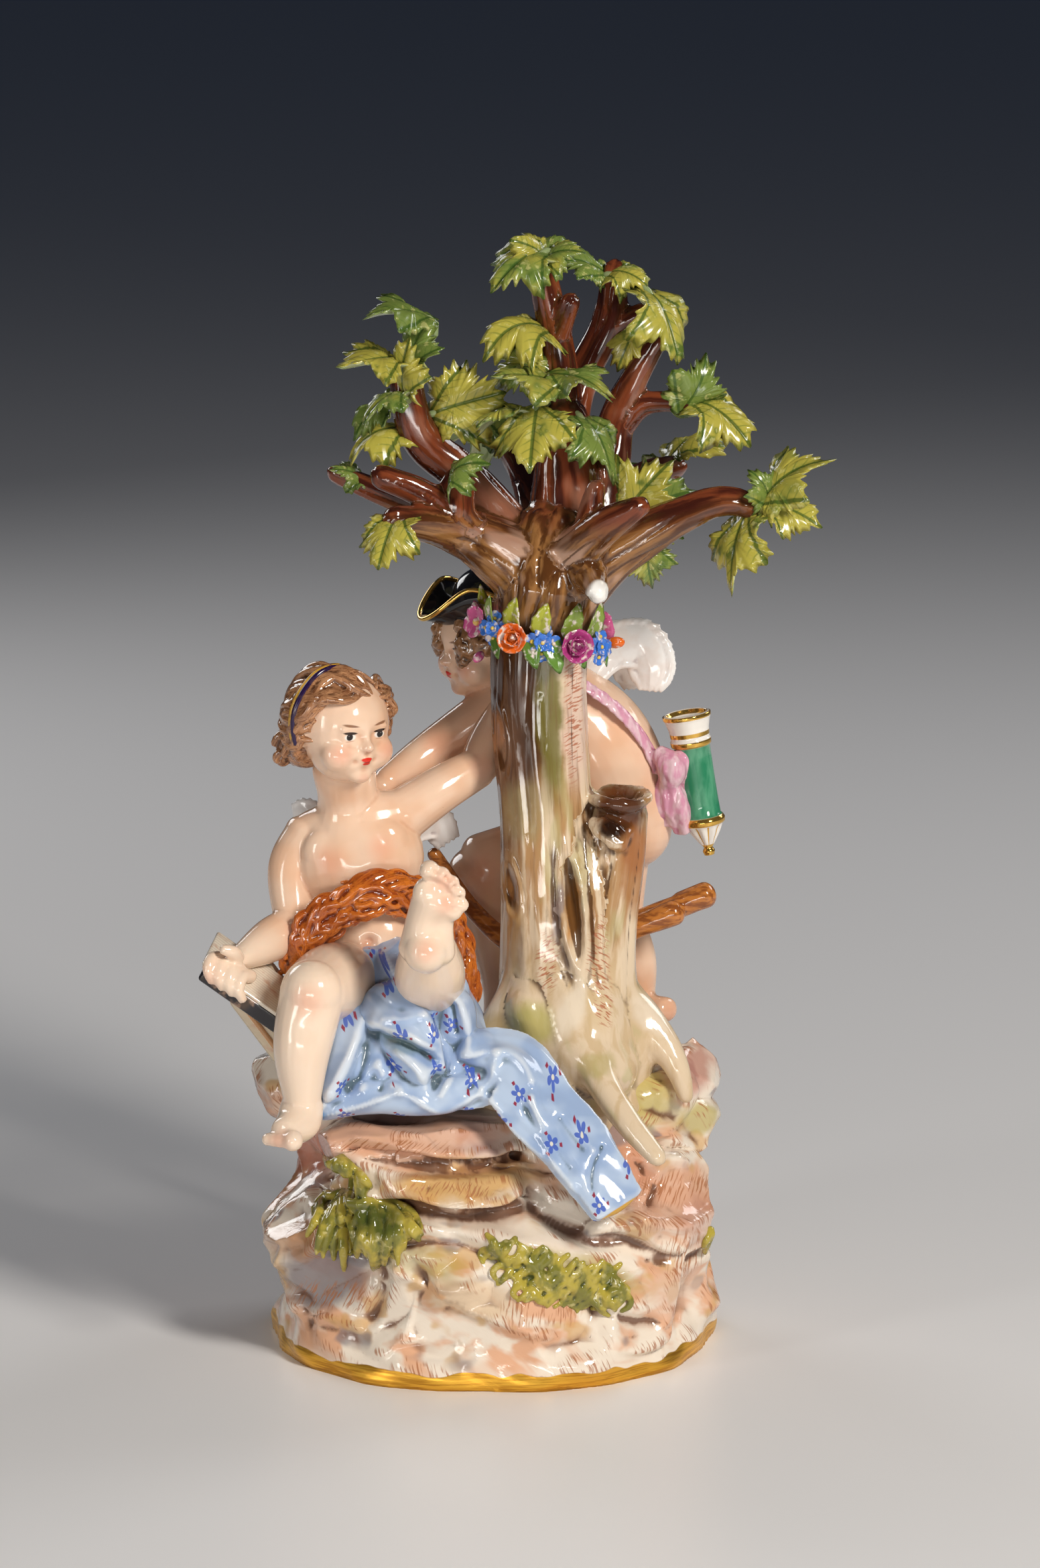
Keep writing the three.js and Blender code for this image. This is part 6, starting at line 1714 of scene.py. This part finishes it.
BOY_WING = [(24, 28, 164), (30, 29, 172), (37.6, 30, 173.4), (40.6, 29, 168), (40.4, 28, 163)]
WIDTHS = (3.2, 5.8, 6.6, 5.8, 2.8)
lumps = (feathered([(-40, 3, 128), (-46, 7, 134), (-49.6, 9, 134)], (3, 3.3, 2), (0, -1, 0), 4)
         + feathered([(-28, 2, 128), (-16, 8, 132), (-11.8, 10, 127)], (4, 4.8, 3.2), (0, -1, 0), 5)
         + feathered(BOY_WING, WIDTHS, (-0.2, -1, 0.1))
         + feathered([(x - 4, 64 - y, z - 1) for x, y, z in BOY_WING], WIDTHS, (-0.2, 1, 0.1)))
wings = fuse("wings", lumps, 0.45, rounds=1)
mark_hollows(wings, rounds=4, depth=0.25)
thin(wings, 60000)
feather = Glaze("White glaze", roughness=0.12)
white = feather.mix(feather.step(feather.mottle((5, 5, 5)), 0.45, 0.65), (0.88, 0.86, 0.84),
                    (0.84, 0.78, 0.74))
# painted shade: grey brown in the hollows between the feathers
white = feather.brush(white, feather.step(feather.kept(), 0.55, 0.85), 0.6, (0.38, 0.30, 0.30))
feather.paint(white)
hand_over(wings, feather)

# The boy behind the tree
# A winged boy who leans over the child's shoulder, one leg straight and one knee raised, in the
# same glazed flesh, a little warmer.
BOY_HEAD, BOY_RADIUS, BOY_NOD, BOY_TURNED = (-1.5, 22, 175.6), 12.2, 8, -62
BOY_FACE = (BOY_HEAD, BOY_RADIUS, BOY_NOD, BOY_TURNED)
NECK, SHOULDERS, BACK, BOY_HIPS = (3, 23, 166), (11, 27, 161), (25, 27.5, 148), (34, 27, 129)
lumps = [
    bar([NECK, SHOULDERS, BACK, BOY_HIPS], [8, 12.2, 15.6, 14.4], up=(0.6, 0, 0.8), peak=0.7,
        columns=32, rows=40),
    ball((35.6, 24.4, 127.4), (10.4, 11, 11)), ball((34.6, 31.4, 127), (10, 10, 10.6)),
    ball((15, 17.4, 158), (9, 7.4, 8)), ball((21, 38, 158), (8, 7, 8)),
    bar([BOY_HEAD, NECK], [7, 7.6]),
    # right arm, to the child's shoulder
    bar([(6, 17, 163), (-12, 14, 151.5), (-20, 10, 146.4), (-27, 6, 142.5)], [7, 5.4, 4.8, 3.4],
        up=(-0.6, -1, 0.4)),
    ball((-28.4, 4.6, 141.6), (4.2, 3.6, 2.8)),
    # left arm round the tree
    bar([(13, 37, 162), (11, 44, 151), (4, 43, 147), (-4, 37, 147)], [6.8, 5.6, 4.8, 3.4]),
    ball((-5.6, 35.6, 147), (4, 3.6, 2.8)),
    # left leg
    bar([(31, 27, 121), (31.5, 25, 112), (32.5, 25, 103)], [9.6, 7.9, 6]),
    bar([(32.5, 25, 103), (35.4, 24, 92), (37.5, 26, 80)], [6, 6.7, 4.2], up=KNEEWARD),
    bar([(38, 26, 79.5), (41, 20, 80), (44.4, 16.6, 81)], [4.4, 4, 3.2], flat=1.15),
    # right leg, its knee raised
    bar([(28, 33, 121), (12, 29, 119), (-3, 25, 116.5)], [11.6, 10, 8.6], up=(0, -1, 0)),
    bar([(-3, 25, 116.5), (0, 30, 100), (2, 31, 84), (2, 30, 73)], [8.6, 7.2, 4.8, 4.6], up=(0, -1, 0)),
]
lumps.append(fuse("head", childs_head(*BOY_FACE), 0.4, rounds=9))
boy = fuse("boy", lumps, 0.55, rounds=4)
spine = [(np.array((27 + 0.5 * i, 34 - i * 0.1, 160 - 6 * i)), 2.6, 0.5) for i in range(4)]
sculpt(boy, press_in(spine + face_dents(*BOY_FACE)))
mark_hollows(boy, rounds=5, depth=0.3)
thin(boy, 66000)
warm = Glaze("Warm flesh glaze", roughness=0.12)
warm_tone = flesh_tone(warm, 0.2)
blush = warm.most([warm.near(spot, size, 0.95) for spot, size in (
    ((32.5, 19, 104), 7), ((-14, 9, 152), 6), ((45, 16, 80), 5), ((40, 24, 126), 9), ((-3, 16, 117), 8))])
warm_tone = warm.brush(warm_tone, blush, 0.45, (0.76, 0.30, 0.17))
warm.paint(painted_face(warm, warm_tone, *BOY_FACE))
warm.glow()
hand_over(boy, warm)

# The boy's curls
# Short brown curls under the hat.
draw = random.Random(8)
curls = []
for i in range(80):
    round_head = math.pi * (0.16 + 1.72 * (i % 20) / 19) + draw.uniform(-0.1, 0.1)
    rise = 0.42 - 0.30 * (i // 20) + draw.uniform(-0.08, 0.08)
    if rise < -0.2 and math.cos(round_head) > -0.1:
        rise += 0.55
    reach = math.sqrt(max(0.2, 1.06 - rise * rise))
    place = on_head(*BOY_FACE, reach * math.sin(round_head) * 0.98,
                    reach * math.cos(round_head) - 0.08, rise + 0.06)
    size = BOY_RADIUS * draw.uniform(0.15, 0.23)
    curls.append(ball(place, (size, size, size * 1.15), rings=8))
curls.append(ball(on_head(*BOY_FACE, 0, -0.2, 0.26),
                  tuple(s * BOY_RADIUS for s in (0.98, 0.92, 0.9)), (0, 0, BOY_TURNED)))
boy_hair = fuse("boy_hair", curls, 0.45, rounds=1)
sculpt(boy_hair, lambda place, outward: place + outward * (0.4 * rough(place, 1.3, 6, 2))[:, None])
mark_hollows(boy_hair, rounds=4, depth=0.25)
thin(boy_hair, 50000)
store(boy_hair, "grain", points_of(boy_hair)[0])
boy_brown = hair_glaze("Brown curl glaze", (0.30, 0.15, 0.065), (0.11, 0.045, 0.02))
hand_over(boy_hair, boy_brown)

# The cocked hat
# A round crown and a brim turned up on three sides, black with a gilt edge.
HAT_SEAT, HAT_TILT = (-2, 22.4, 183), Euler((math.radians(4), math.radians(-12), 0))
BRIM_TURN = math.radians(200)


def brim():
    """A round brim whose edge is turned up on three sides."""
    reaches = [(0, 0), (0.18, 8.6), (0.30, 9.6), (0.44, 13.4), (0.5, 14.4), (0.56, 14.6), (0.72, 9.6),
               (1, 0)]
    rises = [(0, 1.4), (0.18, 0.6), (0.30, 0.7), (0.44, 4.6), (0.5, 6.2), (0.56, 4.6), (0.72, -1.4),
             (1, -1.8)]
    seat, tilt = np.array(HAT_SEAT), np.array(HAT_TILT.to_matrix())

    def skin(angle, along):
        down = 1 - along
        corner = np.cos(3 * (angle - BRIM_TURN))
        edge = np.interp(down, [0.3, 0.5, 0.7], [0, 1, 0])
        reach = np.interp(down, *zip(*reaches)) + 2.4 * corner * edge
        rise = np.interp(down, *zip(*rises)) - 3 * corner * edge
        place = np.stack([reach * np.cos(angle), reach * np.sin(angle), rise], axis=1)
        return (place @ tilt.T + seat).T

    return wrapped(120, 48, skin)


edge_ring = []
for i in range(37):
    angle = 2 * math.pi * i / 36
    corner = math.cos(3 * (angle - BRIM_TURN))
    reach = 14.3 + 2.4 * corner
    where = Vector((reach * math.cos(angle), reach * math.sin(angle), 6.1 - 3 * corner))
    where.rotate(HAT_TILT)
    edge_ring.append((*(where + Vector(HAT_SEAT)), 0.62))
hat_parts = [tinted(piece, (0.012, 0.011, 0.013)) for piece in
             (ball((-1, 22.6, 186.8), (9.3, 9.3, 8.2), rings=24), brim())]
hat_parts.append(tinted(bars([edge_ring], fineness=6, rounded=False), (0.70, 0.42, 0.10)))
hat = as_one("cocked_hat", hat_parts)
black = Glaze("Hat glaze", roughness=0.10)
tint = black.kept("tint", "Vector")
golden = black.step(black.axis("X", tint), 0.2, 0.5)
thin_spot = black.step(black.mottle((3, 3, 3), detail=3), 0.56, 0.75)
black.paint(black.brush(tint, thin_spot, 0.35, (0.10, 0.085, 0.08)))
black.feed(black.shader.inputs["Metallic"], black.times(golden, 0.85))
hand_over(hat, black)

# The quiver
# A turned green tube between gilt rings with a fluted foot, hung at the boy's side.
def turned_tube(profile, flutes=(0, 0, 0)):
    """A turned body from (radius, height) pairs that start and end on the axis; flutes are cut
    between two heights."""
    count, low, high = flutes
    fine = []
    for (r0, h0), (r1, h1) in zip(profile, profile[1:]):
        fine += [(r0 + (r1 - r0) * t / 3, h0 + (h1 - h0) * t / 3) for t in range(3)]
    fine.append(profile[-1])
    table = np.array(fine)

    def skin(angle, along):
        row = np.round(along * (len(table) - 1)).astype(int)
        reach, height = table[row].T
        if count:
            cut = np.clip((height - low) / 1.2, 0, 1) * np.clip((high - height) / 1.2, 0, 1)
            reach = reach * (1 - 0.12 * cut * (0.5 + 0.5 * np.cos(count * angle)))
        return reach * np.cos(angle), reach * np.sin(angle), height

    return wrapped(96, len(table) - 1, skin)


quiver = turned_tube([
    (0, 0), (1.3, 0.2), (1.6, 1.2), (1.1, 2.2), (2.2, 3.6), (3.9, 6.2), (4.9, 8.2), (5.4, 8.6), (5.5, 9.6),
    (5.1, 10.4), (4.6, 10.8), (4.6, 20), (4.7, 28.8), (5.2, 29.2), (5.3, 30.4), (5.0, 31), (5.2, 33.4),
    (5.8, 35.6), (6.2, 36.4), (6.2, 37.2), (5.4, 37.5), (5.0, 36.6), (4.4, 36), (0, 35.6)], (9, 2.6, 8.4))
height_on = points_of(quiver)[0][:, 2].copy()
store(quiver, "up_tube", height_on)
store(quiver, "round_tube", np.arctan2(points_of(quiver)[0][:, 1], points_of(quiver)[0][:, 0]))
quiver.rotation_euler = (0, math.radians(-9.5), 0)
quiver.location = Vector((55.4, 20, 120.6)) * MM
quiver = settle(quiver)
quiver.name = quiver.data.name = "quiver"
tube = Glaze("Quiver glaze", roughness=0.10)
up_tube = tube.kept("up_tube")
enamel = tube.mix(tube.step(tube.mottle((3, 3, 9), detail=3), 0.4, 0.65), (0.03, 0.22, 0.11),
                  (0.10, 0.34, 0.20))
pale_ends = tube.maths("MAXIMUM", tube.step(up_tube, 10.6, 10.2), tube.step(up_tube, 28.7, 29.1))
enamel = tube.mix(pale_ends, enamel, (0.84, 0.80, 0.74))
turned = tube.kept("round_tube")
gilt_lines = tube.step(tube.maths("COSINE", tube.times(turned, 9)), 0.82, 0.94)
gilt_lines = tube.times(gilt_lines, tube.step(up_tube, 8.3, 7.9))
enamel = tube.mix(gilt_lines, enamel, (0.62, 0.34, 0.05))
bands = tube.most([tube.times(tube.step(up_tube, low - 0.15, low + 0.1),
                              tube.step(up_tube, high + 0.15, high - 0.1))
                   for low, high in ((0.2, 3.0), (8.3, 10.4), (28.9, 30.4), (31.6, 32.6), (36.3, 37.3))])
tube.paint(tube.mix(bands, enamel, (0.72, 0.43, 0.09)))
tube.feed(tube.shader.inputs["Metallic"], tube.times(bands, 0.85))
hand_over(quiver, tube)

# The ribbon
# A pink ribbon over the shoulder, tied in a full bow at the quiver.
lumps = [
    bar([(23, 13.5, 166), (31, 14.5, 160), (38, 17, 151.5), (42, 18.4, 143)], [0.9, 1.0, 1.0, 1.0],
        up=(0.7, -0.6, 0.5), flat=2.2),
    bar([(42, 17, 148), (45.4, 15.6, 144), (44.6, 17, 138)], [2, 3.6, 2], up=(0.2, -1, 0), flat=1.1),
    bar([(44, 17, 143), (48.6, 17.6, 146), (49.4, 18.6, 139)], [1.8, 2.6, 1.6], up=(0.2, -1, 0), flat=1.1),
    bar([(44.6, 17, 141), (47.4, 17.4, 134), (49, 19, 127.6)], [2, 3, 2.2], up=(0.4, -1, 0.1), flat=1.3,
        relief=lambda angle, along: 1 + 0.14 * np.sin(4 * angle + 3 * along)),
    bar([(44, 17.4, 141), (43, 17.8, 134), (44.4, 19, 129)], [1.6, 2.2, 1.5], up=(0.1, -1, 0.1), flat=1.3),
    ball((45, 16, 141.6), (2.2, 2, 2.4)),
]
ribbon = fuse("ribbon", lumps, 0.4, rounds=2)
sculpt(ribbon, lambda place, outward: place - outward * (
    0.5 * np.abs(rough(place * (1, 1, 0.3), 2.4, 3, 2)))[:, None])
mark_hollows(ribbon, rounds=4, depth=0.25)
silk = Glaze("Ribbon glaze", roughness=0.12)
pink = silk.mix(silk.step(silk.mottle((2, 2, 6)), 0.42, 0.62), (0.66, 0.30, 0.42), (0.76, 0.52, 0.58))
# painted shade: deep pink in the hollows of the folds
pink = silk.brush(pink, silk.step(silk.kept(), 0.55, 0.85), 0.7, (0.34, 0.07, 0.14))
silk.paint(pink)
hand_over(ribbon, silk)

# The bow
# A carved wooden bow held behind the trunk, its horns standing out at the right.
BOW = [(-15, 13, 122.6), (-4, 12, 107), (8, 9, 98.6), (24, 8, 99.4), (38, 8, 106), (53.4, 7, 112.4)]
lumps = [
    bar(BOW, [1.8, 2.3, 2.8, 3.2, 3.2, 2.9], peak=0.7, rows=60),
    bar([(26, 5, 100), (36, 4.4, 105), (45.6, 4, 108.6)], [3.2, 2.9, 3.1], peak=0.7),
    bar([(48, 7.4, 110.6), (54, 7, 113)], [3.2, 3.4], peak=0.8),
    bar([(41, 4.2, 107), (46, 4, 109)], [3.1, 3.3], peak=0.8),
]
bow = fuse("bow", lumps, 0.45, rounds=2)
mark_hollows(bow, rounds=4, depth=0.25)
thin(bow, 14000)
carved = Glaze("Bow glaze", roughness=0.11)
brown = carved.mix(carved.step(carved.mottle((5, 1.2, 1.2), detail=3), 0.42, 0.6), (0.52, 0.19, 0.04),
                   (0.26, 0.08, 0.02))
# painted shade: near black in the hollows of the carving
carved.paint(carved.brush(brown, carved.step(carved.kept(), 0.55, 0.85), 0.6, (0.08, 0.03, 0.01)))
hand_over(bow, carved)

# The studio
# A pale floor and soft lights, and the camera where the photograph was taken from.
bpy.ops.mesh.primitive_plane_add(size=8, location=(0, 1.5, 0))
floor = bpy.context.object
floor.name = "floor"
pale = bpy.data.materials.new("Pale floor")
pale.use_nodes = True
pale.node_tree.nodes["Principled BSDF"].inputs["Base Color"].default_value = (0.90, 0.89, 0.89, 1)
pale.node_tree.nodes["Principled BSDF"].inputs["Roughness"].default_value = 0.4
floor.data.materials.append(pale)

world = bpy.data.worlds.new("Studio")
world.use_nodes = True
world.node_tree.nodes["Background"].inputs["Color"].default_value = (0.10, 0.13, 0.20, 1)
world.node_tree.nodes["Background"].inputs["Strength"].default_value = 0.13
bpy.context.scene.world = world
bpy.context.scene.view_settings.view_transform = "Standard"

AIM = Vector((0.007, 0, 0.143))
VIEW_DISTANCE, VIEW_RISE = 1.5, math.radians(11)
SENSOR, FOCAL_PIXELS, PICTURE_HEIGHT = 36, 9000, 2365


def softbox(name, place, size, power, tint=(1, 1, 1)):
    """A square soft light aimed at the group."""
    bpy.ops.object.light_add(type="AREA", location=place)
    lamp = bpy.context.object
    lamp.name = name
    lamp.data.shape = "RECTANGLE"
    lamp.data.size, lamp.data.size_y = size
    lamp.data.energy = power
    lamp.data.color = tint
    lamp.rotation_euler = (AIM - Vector(place)).to_track_quat("-Z", "Y").to_euler()


softbox("key", (0.66, -0.92, 0.80), (0.24, 0.36), 14.5, (1, 0.95, 0.88))
softbox("fill", (-0.95, -0.85, 0.30), (0.18, 0.5), 3.0, (1, 0.97, 0.93))
softbox("rim", (0.9, 0.7, 0.8), (0.5, 0.4), 3.4)
softbox("back", (-0.7, 0.9, 0.6), (0.5, 0.4), 3)
softbox("low", (-0.15, -1.1, 0.06), (0.5, 0.08), 1.8, (1, 0.97, 0.93))

bpy.ops.object.camera_add(location=AIM + VIEW_DISTANCE * Vector((
    0, -math.cos(VIEW_RISE), math.sin(VIEW_RISE))))
camera = bpy.context.object
camera.rotation_euler = (math.pi / 2 - VIEW_RISE, 0, 0)
camera.data.sensor_width = SENSOR
camera.data.lens = SENSOR * FOCAL_PIXELS / PICTURE_HEIGHT
camera.data.clip_end = 20
bpy.context.scene.camera = camera
